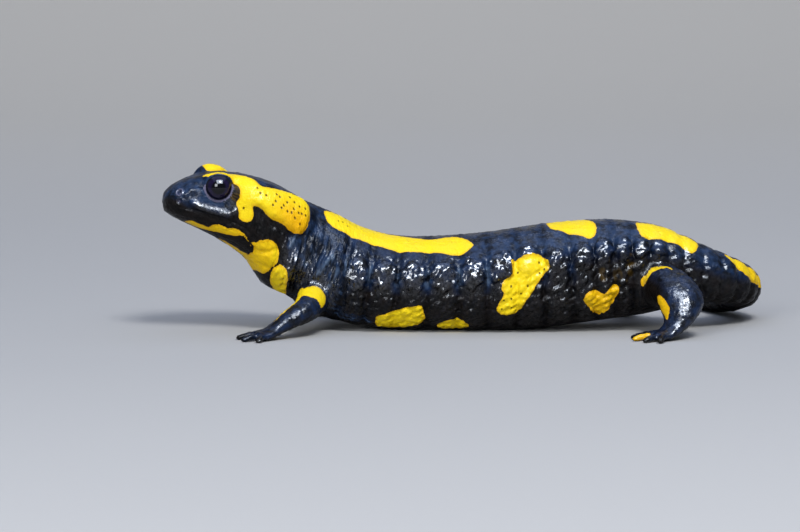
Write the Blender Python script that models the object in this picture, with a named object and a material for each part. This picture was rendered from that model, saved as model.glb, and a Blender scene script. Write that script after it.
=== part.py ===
"""Fire salamander, a life-size still model with its head raised and its tail swept to one side.

The animal faces -X and stands on z = 0. Its left side, at -Y, carries the markings best known.
Sizes are in millimetres down to the point where a mesh is made.
"""

import math

import bmesh
import bpy
from mathutils import Matrix, Vector

MM = 0.001
GAP = 0.3  # space between neighbouring pieces
SQUARENESS = 2.25  # 2 is an ellipse; a little more is a body that is fuller at its corners

# The straight body from snout to tail tip. Each row is one section:
# back line x and z, belly line x and z, half width, height of the widest level (share of section)
BODY_SECTIONS = (
    (-45.1, 25.3, -45.1, 24.0, 1.1, 0.50),
    (-44.8, 26.3, -44.8, 22.9, 2.6, 0.50),
    (-43.8, 27.4, -43.6, 22.0, 4.2, 0.48),
    (-42.1, 28.4, -41.6, 20.9, 5.3, 0.46),
    (-39.8, 29.2, -39.2, 19.7, 6.0, 0.46),
    (-37.5, 29.6, -36.8, 18.5, 6.4, 0.47),
    (-34.8, 29.8, -34.1, 17.0, 6.8, 0.48),
    (-31.8, 29.8, -31.5, 15.2, 7.6, 0.50),
    (-28.6, 29.3, -29.3, 13.3, 8.3, 0.52),
    (-25.4, 28.4, -27.8, 10.9, 8.5, 0.53),
    (-22.4, 27.0, -26.2, 8.8, 8.2, 0.53),
    (-19.6, 25.3, -24.1, 7.5, 7.7, 0.52),
    (-17.0, 23.9, -21.9, 6.2, 7.4, 0.50),
    (-14.4, 22.8, -19.6, 4.3, 7.7, 0.48),
    (-11.4, 21.4, -16.0, 2.7, 8.6, 0.46),
    (-7.6, 19.4, -10.8, 1.2, 9.4, 0.45),
    (-2.6, 17.9, -4.4, 0.1, 10.0, 0.45),
    (3.0, 17.4, 1.8, -0.2, 10.4, 0.45),
    (9.0, 17.6, 8.4, -0.3, 10.7, 0.45),
    (15.0, 18.1, 15.0, -0.3, 10.9, 0.45),
    (21.0, 18.9, 21.4, -0.2, 11.0, 0.45),
    (27.0, 19.8, 28.0, 0.3, 10.9, 0.45),
    (33.0, 20.4, 34.4, 1.0, 10.5, 0.46),
    (39.0, 20.7, 40.2, 1.8, 9.8, 0.47),
    (44.6, 20.3, 45.2, 2.6, 8.9, 0.48),
    (49.6, 19.3, 49.2, 3.5, 7.7, 0.49),
    (54.0, 17.6, 52.8, 4.2, 6.4, 0.50),
    (58.2, 15.6, 57.2, 4.4, 5.5, 0.50),
    (63.0, 13.6, 62.2, 4.0, 4.9, 0.50),
    (68.0, 11.7, 67.4, 3.2, 4.5, 0.50),
    (74.0, 9.7, 73.6, 2.0, 4.1, 0.50),
    (81.0, 8.0, 80.8, 0.6, 3.7, 0.50),
    (89.0, 6.7, 89.0, -0.1, 3.3, 0.50),
    (98.0, 5.8, 98.0, -0.2, 2.8, 0.50),
    (108.0, 4.8, 108.0, -0.2, 2.3, 0.50),
    (118.0, 3.7, 118.0, -0.2, 1.8, 0.50),
    (126.0, 2.6, 126.0, -0.1, 1.2, 0.50),
    (130.0, 1.4, 130.0, 0.1, 0.5, 0.50),
)

# Pieces along the body: name, first and last section, rings between two sections, points in a ring
BODY_NODES = (
    ("head", 0, 11, 3, 34),
    ("neck", 11, 14, 3, 30),
    ("chest", 14, 17, 5, 30),
    ("belly", 17, 22, 5, 30),
    ("pelvis", 22, 26, 5, 28),
    ("tail_base", 26, 29, 4, 24),
    ("tail_middle", 29, 32, 4, 18),
    ("tail_end", 32, 34, 4, 14),
    ("tail_tip", 34, 37, 4, 12),
)

# The body's course seen from above: heading angle reached at a place on the straight body
HEAD_YAW = math.radians(12)  # the head turns to the animal's left
TAIL_SWEEP = math.radians(112)  # the tail swings to the animal's right
NECK_BEND = (-20.0, -7.0)
TAIL_BEND = (47.0, 84.0)

# Skin folds and glands
PAROTOID_BACK, PAROTOID_FRONT = -20.0, -31.5
PAROTOID_ANGLE = math.radians(50)
PAROTOID_HALF_ANGLE = math.radians(27)
PAROTOID_HEIGHT = 1.0
COSTAL_GROOVES = (-11.0, -6.0, -0.7, 5.0, 11.0, 16.3, 21.7, 27.0, 32.2, 36.6, 40.4, 43.8, 46.9, 50.0)
GROOVE_DEPTH, GROOVE_WIDTH = 0.5, 0.75
FLANK_GLAND_ANGLE = math.radians(67)
FLANK_GLAND_HEIGHT = 0.6
TAIL_RING_FIRST, TAIL_RING_SPACING, TAIL_RING_COUNT = 52.5, 3.3, 16
TAIL_RING_DEPTH = 0.3
GULAR_FOLD = -18.6
GULAR_FOLD_DEPTH = 0.6

# Eyes, lids, nostrils and mouth, on the straight head
EYE_X, EYE_Y, EYE_Z = -35.4, 5.5, 27.85
EYE_TILT = 0.2  # the head leans to its left, so the right eye stands higher and the left one lower
EYE_RADIUS = 2.6
EYE_OUTWARD = (-0.16, 1.0, 0.05)
LID_RADIUS = 3.25
LID_LENGTHENING = 1.2  # the lids are longer than they are high
LID_HEIGHTENING = 1.02
LID_INSET = 0.3
LID_OPENING = 2.4
ORBIT_ANGLE = math.radians(48)  # the swelling of the skull that carries each eye
ORBIT_HALF_ANGLE = math.radians(28)
ORBIT_HALF_LENGTH = 4.4
ORBIT_HEIGHT = 1.9
NOSTRIL = (-42.9, 3.7, 26.2)
NOSTRIL_RADIUS = 0.42
MOUTH_LINE = (
    (-45.4, 24.1),
    (-43.0, 24.0),
    (-39.6, 23.3),
    (-36.2, 22.4),
    (-33.4, 21.4),
    (-31.0, 20.1),
    (-29.8, 18.9),
)
MOUTH_GROOVE_RADIUS = 0.32

# Limbs: joints from root to knuckles as x, y outwards, z, half width and half thickness
FRONT_LEG_LEFT = (
    (-15.6, 3.0, 6.8, 3.4, 3.4),
    (-16.3, 7.6, 6.4, 3.1, 3.0),
    (-16.8, 11.4, 5.8, 2.8, 2.6),
    (-17.8, 14.2, 4.9, 2.5, 2.3),
    (-20.2, 16.2, 3.7, 2.2, 1.8),
    (-22.6, 17.6, 2.2, 1.9, 1.35),
    (-24.8, 18.6, 1.0, 2.6, 1.0),
    (-26.6, 19.2, 0.8, 2.9, 0.9),
)
FRONT_LEG_RIGHT = (
    (-14.6, 3.0, 7.0, 3.4, 3.4),
    (-13.8, 7.6, 6.8, 3.1, 3.0),
    (-12.0, 11.4, 6.4, 2.8, 2.6),
    (-10.9, 14.3, 5.5, 2.5, 2.3),
    (-11.3, 16.7, 3.9, 2.2, 1.8),
    (-12.8, 18.2, 2.2, 1.9, 1.35),
    (-14.8, 19.2, 1.0, 2.6, 1.0),
    (-16.6, 19.8, 0.8, 2.9, 0.9),
)
HIND_LEG_LEFT = (
    (46.8, 2.0, 9.2, 4.6, 4.6),
    (48.8, 6.4, 9.0, 4.3, 4.3),
    (51.0, 11.0, 8.3, 4.1, 3.9),
    (52.1, 14.2, 6.9, 4.4, 3.4),
    (51.8, 16.4, 4.6, 3.5, 2.5),
    (50.7, 17.7, 2.5, 2.6, 1.6),
    (49.0, 18.6, 1.1, 2.8, 1.1),
    (46.8, 19.4, 0.8, 3.2, 0.95),
)
HIND_LEG_RIGHT = (
    (46.8, 2.0, 9.2, 4.6, 4.6),
    (46.4, 6.4, 9.2, 4.3, 4.3),
    (45.0, 10.8, 8.8, 3.8, 3.9),
    (44.0, 14.0, 7.4, 3.3, 3.2),
    (44.6, 16.4, 4.8, 2.6, 2.4),
    (44.6, 18.0, 2.5, 2.1, 1.6),
    (43.0, 19.2, 1.1, 2.8, 1.1),
    (41.0, 20.1, 0.8, 3.2, 0.95),
)


def smooth_step(value, low, high):
    """0 below low, 1 above high and an even S between."""
    share = min(1.0, max(0.0, (value - low) / (high - low)))
    return share * share * (3 - 2 * share)


def bump(distance, width):
    """1 at the middle, falling off on both sides within about one width."""
    return math.exp(-((distance / width) ** 2))


def between_rows(rows, place):
    """The row at a fractional place in a table, on a smooth curve through its rows."""
    last = len(rows) - 1
    first = min(last - 1, max(0, int(math.floor(place))))
    t = place - first
    before, start, end, after = (rows[min(last, max(0, first + k))] for k in (-1, 0, 1, 2))
    return [
        b + 0.5 * t * (c - a + t * (2 * a - 5 * b + 4 * c - d + t * (3 * (b - c) + d - a)))
        for a, b, c, d in zip(before, start, end, after)
    ]


def heading(x):
    """Direction of the body's midline seen from above, in radians from +X."""
    return HEAD_YAW * (1 - smooth_step(x, *NECK_BEND)) + TAIL_SWEEP * smooth_step(x, *TAIL_BEND)


def midline_table():
    """Where each half millimetre of the straight midline comes to lie once the body is bent."""
    step = 0.5
    table = {0: Vector((0.0, 0.0))}
    for direction, count in ((1, 280), (-1, 100)):
        here = Vector((0.0, 0.0))
        for k in range(count):
            angle = heading((k + 0.5) * step * direction)
            here = here + Vector((math.cos(angle), math.sin(angle))) * step * direction
            table[(k + 1) * direction] = here
    return step, table


MIDLINE_STEP, MIDLINE = midline_table()


def bend_matrix(x):
    """Carries a stiff piece of the straight body at x to its place on the bent midline."""
    share = x / MIDLINE_STEP
    low = math.floor(share)
    place = MIDLINE[low].lerp(MIDLINE[low + 1], share - low)
    turn = Matrix.Rotation(heading(x), 4, "Z")
    return Matrix.Translation((place.x, place.y, 0)) @ turn @ Matrix.Translation((-x, 0, 0))


HEAD_PLACE = bend_matrix(-34.0)


def relief(x, angle):
    """How far glands and folds raise the skin, by place along the body and angle from the back."""
    side = abs(angle)
    height = 0.0
    length = smooth_step(x, PAROTOID_FRONT - 2.0, PAROTOID_FRONT + 2.0)
    length *= 1 - smooth_step(x, PAROTOID_BACK - 1.0, PAROTOID_BACK + 1.6)
    spread = (side - PAROTOID_ANGLE) / PAROTOID_HALF_ANGLE
    height += PAROTOID_HEIGHT * length * math.exp(-(spread**4))
    orbit = bump(x - EYE_X, ORBIT_HALF_LENGTH) * bump(side - ORBIT_ANGLE, ORBIT_HALF_ANGLE)
    height += ORBIT_HEIGHT * orbit

    on_flank = smooth_step(side, math.radians(22), math.radians(50))
    on_flank *= 1 - smooth_step(side, math.radians(135), math.radians(165))
    for groove in COSTAL_GROOVES:
        height -= GROOVE_DEPTH * on_flank * bump(x - groove, GROOVE_WIDTH)
    for ahead, behind in zip(COSTAL_GROOVES, COSTAL_GROOVES[1:]):
        gland = bump(x - (ahead + behind) / 2, (behind - ahead) * 0.32)
        gland *= bump(side - FLANK_GLAND_ANGLE, math.radians(15))
        height += FLANK_GLAND_HEIGHT * gland

    for k in range(TAIL_RING_COUNT):
        shrink = 1 - 0.7 * k / TAIL_RING_COUNT
        height -= TAIL_RING_DEPTH * shrink * bump(x - TAIL_RING_FIRST - k * TAIL_RING_SPACING, 0.6)

    under = smooth_step(side, math.radians(70), math.radians(105))
    height -= GULAR_FOLD_DEPTH * under * bump(x - GULAR_FOLD, 0.9)
    return height


def body_ring(place, points, grow=0.0):
    """One closed ring of the body, bent into place, with nothing under the floor."""
    back_x, back_z, belly_x, belly_z, half_width, level = between_rows(BODY_SECTIONS, place)
    back, belly = Vector((back_x, 0, back_z)), Vector((belly_x, 0, belly_z))
    middle = belly.lerp(back, level)
    up = (back - belly).normalized()
    above, below = (back - middle).length, (middle - belly).length
    bend = bend_matrix(middle.x)
    ring = []
    for k in range(points):
        angle = math.tau * k / points
        if angle > math.pi:
            angle -= math.tau
        rise, out = math.cos(angle), math.sin(angle)
        wide = half_width * math.copysign(abs(out) ** (2 / SQUARENESS), out)
        high = (above if rise > 0 else below) * math.copysign(abs(rise) ** (2 / SQUARENESS), rise)
        offset = Vector((0, wide, 0)) + up * high
        size = offset.length
        offset *= (size + relief(middle.x, angle) * min(1.0, size / 3) + grow) / size
        point = bend @ (middle + offset)
        point.z = max(point.z, -grow)
        ring.append(point)
    return ring


def loft(name, rings):
    """A closed mesh object through rings of equal length, with both ends capped."""
    mesh = bpy.data.meshes.new(name)
    shape = bmesh.new()
    rows = [[shape.verts.new(point * MM) for point in ring] for ring in rings]
    for here, there in zip(rows, rows[1:]):
        for k in range(len(here)):
            n = (k + 1) % len(here)
            shape.faces.new((here[k], here[n], there[n], there[k]))
    shape.faces.new(rows[0][::-1])
    shape.faces.new(rows[-1])
    bmesh.ops.recalc_face_normals(shape, faces=shape.faces)
    bmesh.ops.triangulate(shape, faces=shape.faces)
    shape.to_mesh(mesh)
    shape.free()
    return place_object(name, mesh)


def place_object(name, mesh):
    """Links a mesh to the salamander's collection under its node name."""
    thing = bpy.data.objects.new(name, mesh)
    animal.objects.link(thing)
    return thing


def paint(thing, colour, roughness):
    """Gives a piece its own material."""
    look = bpy.data.materials.new(thing.name)
    look.use_nodes = True
    shader = look.node_tree.nodes["Principled BSDF"]
    shader.inputs["Base Color"].default_value = (*colour, 1)
    shader.inputs["Roughness"].default_value = roughness
    shader.inputs["Metallic"].default_value = 0.0
    thing.data.materials.clear()
    thing.data.materials.append(look)
    thing.data.shade_smooth()


def stand_on_origin():
    """Gives each piece its origin at its own middle, and sets the whole over the world's origin."""
    corners = [vertex.co for thing in animal.objects for vertex in thing.data.vertices]
    low = Vector([min(corner[axis] for corner in corners) for axis in range(3)])
    high = Vector([max(corner[axis] for corner in corners) for axis in range(3)])
    shift = Vector(((low.x + high.x) / 2, (low.y + high.y) / 2, low.z))
    whole = bpy.data.objects.new("fire_salamander", None)
    animal.objects.link(whole)
    for thing in list(animal.objects):
        if thing.type != "MESH":
            continue
        points = [vertex.co for vertex in thing.data.vertices]
        middle = sum(points, Vector()) / len(points)
        thing.data.transform(Matrix.Translation(-middle))
        thing.location = middle - shift
        thing.parent = whole


def body_piece(name, first, last, rings_each, points, grow=0.0):
    """The body between two sections, stopping half a gap short of each neighbour."""
    count = (last - first) * rings_each
    places = [first + (last - first) * k / count for k in range(count + 1)]
    places[0] += half_gap(first) if first > 0 else 0
    places[-1] -= half_gap(last) if last < len(BODY_SECTIONS) - 1 else 0
    return loft(name, [body_ring(place, points, grow) for place in places])


def half_gap(section):
    """Half a gap at a section, counted in sections."""
    before = BODY_SECTIONS[section - 1]
    after = BODY_SECTIONS[min(section + 1, len(BODY_SECTIONS) - 1)]
    pitch = ((after[0] - before[0]) + (after[2] - before[2])) / 4
    return GAP / 2 / pitch


def apply_boolean(target, operation, others):
    """Joins or cuts the target with other closed meshes, which are then removed."""
    group = bpy.data.collections.new("tools")
    bpy.context.scene.collection.children.link(group)
    for other in others:
        for owner in other.users_collection:
            owner.objects.unlink(other)
        group.objects.link(other)
    modifier = target.modifiers.new("boolean", "BOOLEAN")
    modifier.operation = operation
    modifier.operand_type = "COLLECTION"
    modifier.collection = group
    modifier.solver = "EXACT"
    graph = bpy.context.evaluated_depsgraph_get()
    mesh = bpy.data.meshes.new_from_object(target.evaluated_get(graph))
    target.modifiers.clear()
    target.data = mesh
    for other in list(group.objects):
        bpy.data.objects.remove(other)
    bpy.data.collections.remove(group)
    keep_largest(target)


def keep_largest(target):
    """Leaves only the closed surface that holds the most, which also fills a sealed hollow."""
    shape = bmesh.new()
    shape.from_mesh(target.data)
    left, pieces = set(shape.verts), []
    while left:
        edge, piece = [left.pop()], set()
        while edge:
            vertex = edge.pop()
            piece.add(vertex)
            for link in vertex.link_edges:
                other = link.other_vert(vertex)
                if other in left:
                    left.remove(other)
                    edge.append(other)
        pieces.append(piece)
    pieces.sort(key=span_of)
    for piece in pieces[:-1]:
        bmesh.ops.delete(shape, geom=list(piece), context="VERTS")
    shape.to_mesh(target.data)
    shape.free()


def span_of(vertices):
    """The volume of the box round some vertices."""
    sides = [[v.co[axis] for v in vertices] for axis in range(3)]
    return math.prod(max(side) - min(side) for side in sides)


def ball(name, centre, radius, segments=24, rings=16):
    """A round body, with its place in its mesh."""
    mesh = bpy.data.meshes.new(name)
    shape = bmesh.new()
    bmesh.ops.create_uvsphere(shape, u_segments=segments, v_segments=rings, radius=radius * MM)
    bmesh.ops.translate(shape, verts=shape.verts, vec=centre * MM)
    bmesh.ops.triangulate(shape, faces=shape.faces)
    shape.to_mesh(mesh)
    shape.free()
    return place_object(name, mesh)


def rod(name, start, end, radius, segments=20):
    """A straight round bar between two points."""
    axis = end - start
    mesh = bpy.data.meshes.new(name)
    shape = bmesh.new()
    turn = axis.to_track_quat("Z", "Y").to_matrix().to_4x4()
    place = Matrix.Translation((start + end) / 2 * MM) @ turn
    bmesh.ops.create_cone(
        shape, cap_ends=True, segments=segments, radius1=radius * MM, radius2=radius * MM,
        depth=axis.length * MM, matrix=place,
    )
    bmesh.ops.triangulate(shape, faces=shape.faces)
    shape.to_mesh(mesh)
    shape.free()
    return place_object(name, mesh)


def tube(name, path, radius):
    """A round groove or rim along a path, made as a bevelled curve and turned into a mesh."""
    curve = bpy.data.curves.new(name, "CURVE")
    curve.dimensions = "3D"
    curve.bevel_depth = radius * MM
    curve.bevel_resolution = 0
    curve.use_fill_caps = True
    spline = curve.splines.new("POLY")
    spline.points.add(len(path) - 1)
    for knot, point in zip(spline.points, path):
        knot.co = (*(point * MM), 1)
    drawn = bpy.data.objects.new(name, curve)
    animal.objects.link(drawn)
    graph = bpy.context.evaluated_depsgraph_get()
    mesh = bpy.data.meshes.new_from_object(drawn.evaluated_get(graph))
    bpy.data.objects.remove(drawn)
    shape = bmesh.new()
    shape.from_mesh(mesh)
    bmesh.ops.remove_doubles(shape, verts=shape.verts, dist=1e-6)
    bmesh.ops.recalc_face_normals(shape, faces=shape.faces)
    bmesh.ops.triangulate(shape, faces=shape.faces)
    shape.to_mesh(mesh)
    shape.free()
    return place_object(name, mesh)


def sided(values, side):
    """A point given for one side of the head, on that side (-1 is the animal's left)."""
    x, y, z = values
    return Vector((x, y * side, z))


def mouth_path():
    """The line between the lips, from one corner of the mouth round the snout to the other."""
    half = []
    steps = 18
    for k in range(steps + 1):
        x, z = between_rows(MOUTH_LINE, (len(MOUTH_LINE) - 1) * (k / steps) ** 1.5)
        half.append((x, lip_half_width(x, z), z))
    left = [HEAD_PLACE @ sided(point, -1) for point in reversed(half[1:])]
    front = [HEAD_PLACE @ Vector((half[0][0] + 0.25, 0, half[0][2]))]
    return left + front + [HEAD_PLACE @ sided(point, 1) for point in half[1:]]


def lip_half_width(x, z):
    """How far out the head's side lies at a place in the side view."""
    low, high = 0.0, 11.0
    for _ in range(24):
        place = (low + high) / 2
        row = between_rows(BODY_SECTIONS, place)
        lean = (row[0] - row[2]) * (z - row[3]) / (row[1] - row[3])
        low, high = (place, high) if row[2] + lean < x else (low, place)
    back_x, back_z, belly_x, belly_z, half_width, level = between_rows(BODY_SECTIONS, place)
    middle = belly_z + level * (back_z - belly_z)
    reach = (back_z - middle) if z > middle else (middle - belly_z)
    share = min(1.0, abs(z - middle) / reach)
    return half_width * (1 - share**SQUARENESS) ** (1 / SQUARENESS)


def eye_centre(side):
    return HEAD_PLACE @ sided((EYE_X, EYE_Y, EYE_Z + EYE_TILT * side), side)


def eye_direction(side):
    return (HEAD_PLACE.to_3x3() @ sided(EYE_OUTWARD, side)).normalized()


def finish_head(head):
    """Adds the eyelids, then opens the eye sockets, the nostrils and the line of the mouth."""
    lids, cuts = [], []
    for side in (-1, 1):
        centre, outward = eye_centre(side), eye_direction(side)
        lid = ball("lid", Vector(), LID_RADIUS, 16, 12)
        turn = HEAD_PLACE.to_3x3().to_4x4() @ Matrix.Diagonal((LID_LENGTHENING, 1, LID_HEIGHTENING, 1))
        lid.data.transform(Matrix.Translation((centre - outward * LID_INSET) * MM) @ turn)
        lids.append(lid)
        cuts.append(ball("socket", centre, EYE_RADIUS + GAP, 16, 12))
        cuts.append(rod("opening", centre, centre + outward * 7, LID_OPENING, 16))
        nostril = HEAD_PLACE @ sided(NOSTRIL, side)
        cuts.append(ball("nostril", nostril, NOSTRIL_RADIUS, 10, 8))
    apply_boolean(head, "UNION", lids)
    cuts.append(tube("mouth", mouth_path(), MOUTH_GROOVE_RADIUS))
    apply_boolean(head, "DIFFERENCE", cuts)


def limb_ring(joints, place, points, side, grow=0.0):
    """A ring square to the limb's course, widest level with the ground."""
    x, y, z, half_width, half_thickness = between_rows(joints, place)
    ahead, behind = between_rows(joints, place + 0.05), between_rows(joints, place - 0.05)
    along = (Vector(ahead[:3]) - Vector(behind[:3])).normalized()
    across = along.cross(Vector((0, 0, 1))).normalized()
    up = across.cross(along)
    ring = []
    for k in range(points):
        angle = math.tau * k / points
        offset = across * (half_width + grow) * math.cos(angle)
        offset += up * (half_thickness + grow) * math.sin(angle)
        point = Vector((x, y, z)) + offset
        ring.append(Vector((point.x, point.y * side, max(point.z, 0.0))))
    return ring


def limb_piece(name, joints, first, last, rings_each, points, side):
    """A length of limb between two joints, leaving half a gap at each end inside the limb."""
    count = round((last - first) * rings_each)
    places = [first + (last - first) * k / count for k in range(count + 1)]
    if first > 0:
        places[0] += limb_half_gap(joints, first)
    if last < len(joints) - 1:
        places[-1] -= limb_half_gap(joints, last)
    return loft(name, [limb_ring(joints, place, points, side) for place in places])


def limb_half_gap(joints, place):
    """Half a gap at a joint, counted in joints, with room for the bend on its inner side."""
    before, after = between_rows(joints, place - 0.1), between_rows(joints, place + 0.1)
    pitch = (Vector(after[:3]) - Vector(before[:3])).length / 0.2
    return GAP * 0.75 / pitch


def digit(name, root, direction, length, radius, side):
    """A finger or toe that lies along the ground and ends in a rounded tip."""
    rows = (
        (0.0, 0.05, 1.05),
        (0.35, 0.12, 1.0),
        (0.65, 0.0, 0.95),
        (0.9, -0.25, 0.75),
        (1.0, -0.4, 0.35),
    )
    along = Vector((math.cos(direction), math.sin(direction), 0))
    across = Vector((-along.y, along.x, 0))
    rings = []
    for k in range(6):
        reach, rise, thick = between_rows(rows, 4 * k / 5)
        centre = root + along * length * reach + Vector((0, 0, rise))
        ring = []
        for n in range(6):
            angle = math.tau * n / 6
            point = centre + across * radius * thick * math.cos(angle)
            point.z += radius * 0.85 * thick * math.sin(angle)
            ring.append(Vector((point.x, point.y * side, max(point.z, 0.0))))
        rings.append(ring)
    return loft(name, rings)


def leg(joints, names, digits, side):
    """A whole leg: upper part, lower part and foot, with its digits spread on the ground."""
    tag = "left" if side < 0 else "right"
    upper = limb_piece(f"{names[0]}_{tag}", joints, 0, 3, 4, 14, side)
    apply_boolean(upper, "DIFFERENCE", [body_piece("grown", 10, 28, 4, 40, GAP)])
    limb_piece(f"{names[1]}_{tag}", joints, 3, 5, 4, 14, side)
    foot = limb_piece(f"{names[2]}_{tag}", joints, 5, 7, 4, 14, side)
    wrist, knuckles = Vector(joints[5][:3]), Vector(joints[7][:3])
    forward = math.atan2(knuckles.y - wrist.y, knuckles.x - wrist.x)
    across = Vector((-math.sin(forward), math.cos(forward), 0))
    toes = []
    for k, (turn, spread, length) in enumerate(digits):
        root = knuckles - Vector((math.cos(forward), math.sin(forward), 0)) * 1.2
        root = root + across * spread
        root.z = 0.7
        toes.append(digit(f"digit{k}", root, forward + math.radians(turn), length, 0.72, side))
    apply_boolean(foot, "UNION", toes)


FRONT_NAMES = ("upper_arm", "forearm", "hand")
HIND_NAMES = ("thigh", "shin", "foot")

# Each digit: turn from the foot's heading in degrees, place across the foot, length
FINGERS = ((52, 1.5, 3.4), (18, 0.7, 4.6), (-14, -0.5, 4.8), (-48, -1.5, 3.8))
TOES = ((58, 1.8, 3.4), (30, 1.1, 4.6), (4, 0.1, 5.4), (-22, -0.9, 5.2), (-50, -1.8, 3.9))

for old in list(bpy.data.objects):
    bpy.data.objects.remove(old)
animal = bpy.data.collections.new("fire_salamander")
bpy.context.scene.collection.children.link(animal)
SKIN, SKIN_ROUGHNESS = (0.012, 0.014, 0.02), 0.3
EYE, EYE_ROUGHNESS = (0.01, 0.006, 0.005), 0.05

for piece in BODY_NODES:
    made = body_piece(*piece)
    if piece[0] == "head":
        finish_head(made)
leg(FRONT_LEG_LEFT, FRONT_NAMES, FINGERS, -1)
leg(FRONT_LEG_RIGHT, FRONT_NAMES, FINGERS, 1)
leg(HIND_LEG_LEFT, HIND_NAMES, TOES, -1)
leg(HIND_LEG_RIGHT, HIND_NAMES, TOES, 1)
for made in animal.objects:
    paint(made, SKIN, SKIN_ROUGHNESS)
for side, tag in ((-1, "left"), (1, "right")):
    paint(ball(f"eye_{tag}", eye_centre(side), EYE_RADIUS, 16, 12), EYE, EYE_ROUGHNESS)
stand_on_origin()
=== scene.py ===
import itertools
import math

import bmesh
import bpy
import mathutils
import numpy as np
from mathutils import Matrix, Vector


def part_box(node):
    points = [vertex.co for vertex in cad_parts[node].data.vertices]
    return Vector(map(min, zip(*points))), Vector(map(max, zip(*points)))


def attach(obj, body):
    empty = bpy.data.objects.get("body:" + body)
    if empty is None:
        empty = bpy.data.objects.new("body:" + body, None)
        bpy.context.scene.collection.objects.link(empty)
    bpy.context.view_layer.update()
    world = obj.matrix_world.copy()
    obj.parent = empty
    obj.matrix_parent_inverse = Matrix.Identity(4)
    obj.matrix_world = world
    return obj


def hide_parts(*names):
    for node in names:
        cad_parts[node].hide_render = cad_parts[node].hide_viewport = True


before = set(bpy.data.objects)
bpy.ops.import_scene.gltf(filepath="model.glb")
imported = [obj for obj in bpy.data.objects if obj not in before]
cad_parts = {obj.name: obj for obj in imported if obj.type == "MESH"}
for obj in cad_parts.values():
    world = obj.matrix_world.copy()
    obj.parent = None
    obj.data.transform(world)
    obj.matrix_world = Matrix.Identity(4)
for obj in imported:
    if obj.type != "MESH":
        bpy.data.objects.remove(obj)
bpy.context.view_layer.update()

mm = 0.001

# The straight body from snout to tail tip, as in the solids. Each row is one section, in mm:
# back line x and z, belly line x and z, half width, height of the widest level (share of section)
bodySections = np.array([
    (-45.1, 25.3, -45.1, 24.0, 1.1, 0.50),
    (-44.8, 26.3, -44.8, 22.9, 2.6, 0.50),
    (-43.8, 27.4, -43.6, 22.0, 4.2, 0.48),
    (-42.1, 28.4, -41.6, 20.9, 5.3, 0.46),
    (-39.8, 29.2, -39.2, 19.7, 6.0, 0.46),
    (-37.5, 29.6, -36.8, 18.5, 6.4, 0.47),
    (-34.8, 29.8, -34.1, 17.0, 6.8, 0.48),
    (-31.8, 29.8, -31.5, 15.2, 7.6, 0.50),
    (-28.6, 29.3, -29.3, 13.3, 8.3, 0.52),
    (-25.4, 28.4, -27.8, 10.9, 8.5, 0.53),
    (-22.4, 27.0, -26.2, 8.8, 8.2, 0.53),
    (-19.6, 25.3, -24.1, 7.5, 7.7, 0.52),
    (-17.0, 23.9, -21.9, 6.2, 7.4, 0.50),
    (-14.4, 22.8, -19.6, 4.3, 7.7, 0.48),
    (-11.4, 21.4, -16.0, 2.7, 8.6, 0.46),
    (-7.6, 19.4, -10.8, 1.2, 9.4, 0.45),
    (-2.6, 17.9, -4.4, 0.1, 10.0, 0.45),
    (3.0, 17.4, 1.8, -0.2, 10.4, 0.45),
    (9.0, 17.6, 8.4, -0.3, 10.7, 0.45),
    (15.0, 18.1, 15.0, -0.3, 10.9, 0.45),
    (21.0, 18.9, 21.4, -0.2, 11.0, 0.45),
    (27.0, 19.8, 28.0, 0.3, 10.9, 0.45),
    (33.0, 20.4, 34.4, 1.0, 10.5, 0.46),
    (39.0, 20.7, 40.2, 1.8, 9.8, 0.47),
    (44.6, 20.3, 45.2, 2.6, 8.9, 0.48),
    (49.6, 19.3, 49.2, 3.5, 7.7, 0.49),
    (54.0, 17.6, 52.8, 4.2, 6.4, 0.50),
    (58.2, 15.6, 57.2, 4.4, 5.5, 0.50),
    (63.0, 13.6, 62.2, 4.0, 4.9, 0.50),
    (68.0, 11.7, 67.4, 3.2, 4.5, 0.50),
    (74.0, 9.7, 73.6, 2.0, 4.1, 0.50),
    (81.0, 8.0, 80.8, 0.6, 3.7, 0.50),
    (89.0, 6.7, 89.0, -0.1, 3.3, 0.50),
    (98.0, 5.8, 98.0, -0.2, 2.8, 0.50),
    (108.0, 4.8, 108.0, -0.2, 2.3, 0.50),
    (118.0, 3.7, 118.0, -0.2, 1.8, 0.50),
    (126.0, 2.6, 126.0, -0.1, 1.2, 0.50),
    (130.0, 1.4, 130.0, 0.1, 0.5, 0.50),
])
lastSection = len(bodySections) - 1
squareness = 2.25

# The body's course seen from above
headYaw = math.radians(12)
tailSweep = math.radians(112)
neckBend = (-20.0, -7.0)
tailBend = (47.0, 84.0)

# Eyes, on the straight head. -1 is the left side and 1 the right side, here and below
eyePlace = np.array([-35.4, 5.5, 27.85])
eyeTilt = 0.2  # the right eye stands higher, the left one lower
eyeOutward = np.array([-0.16, 1.0, 0.05])
eyeRadius = 2.6
# The ball of the lids round each eye: half its length, width and height, and how deep it is sunk
lidBall = {"length": 3.8, "width": 3.15, "height": {-1: 2.76, 1: 3.2}, "sunk": 0.3}

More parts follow.
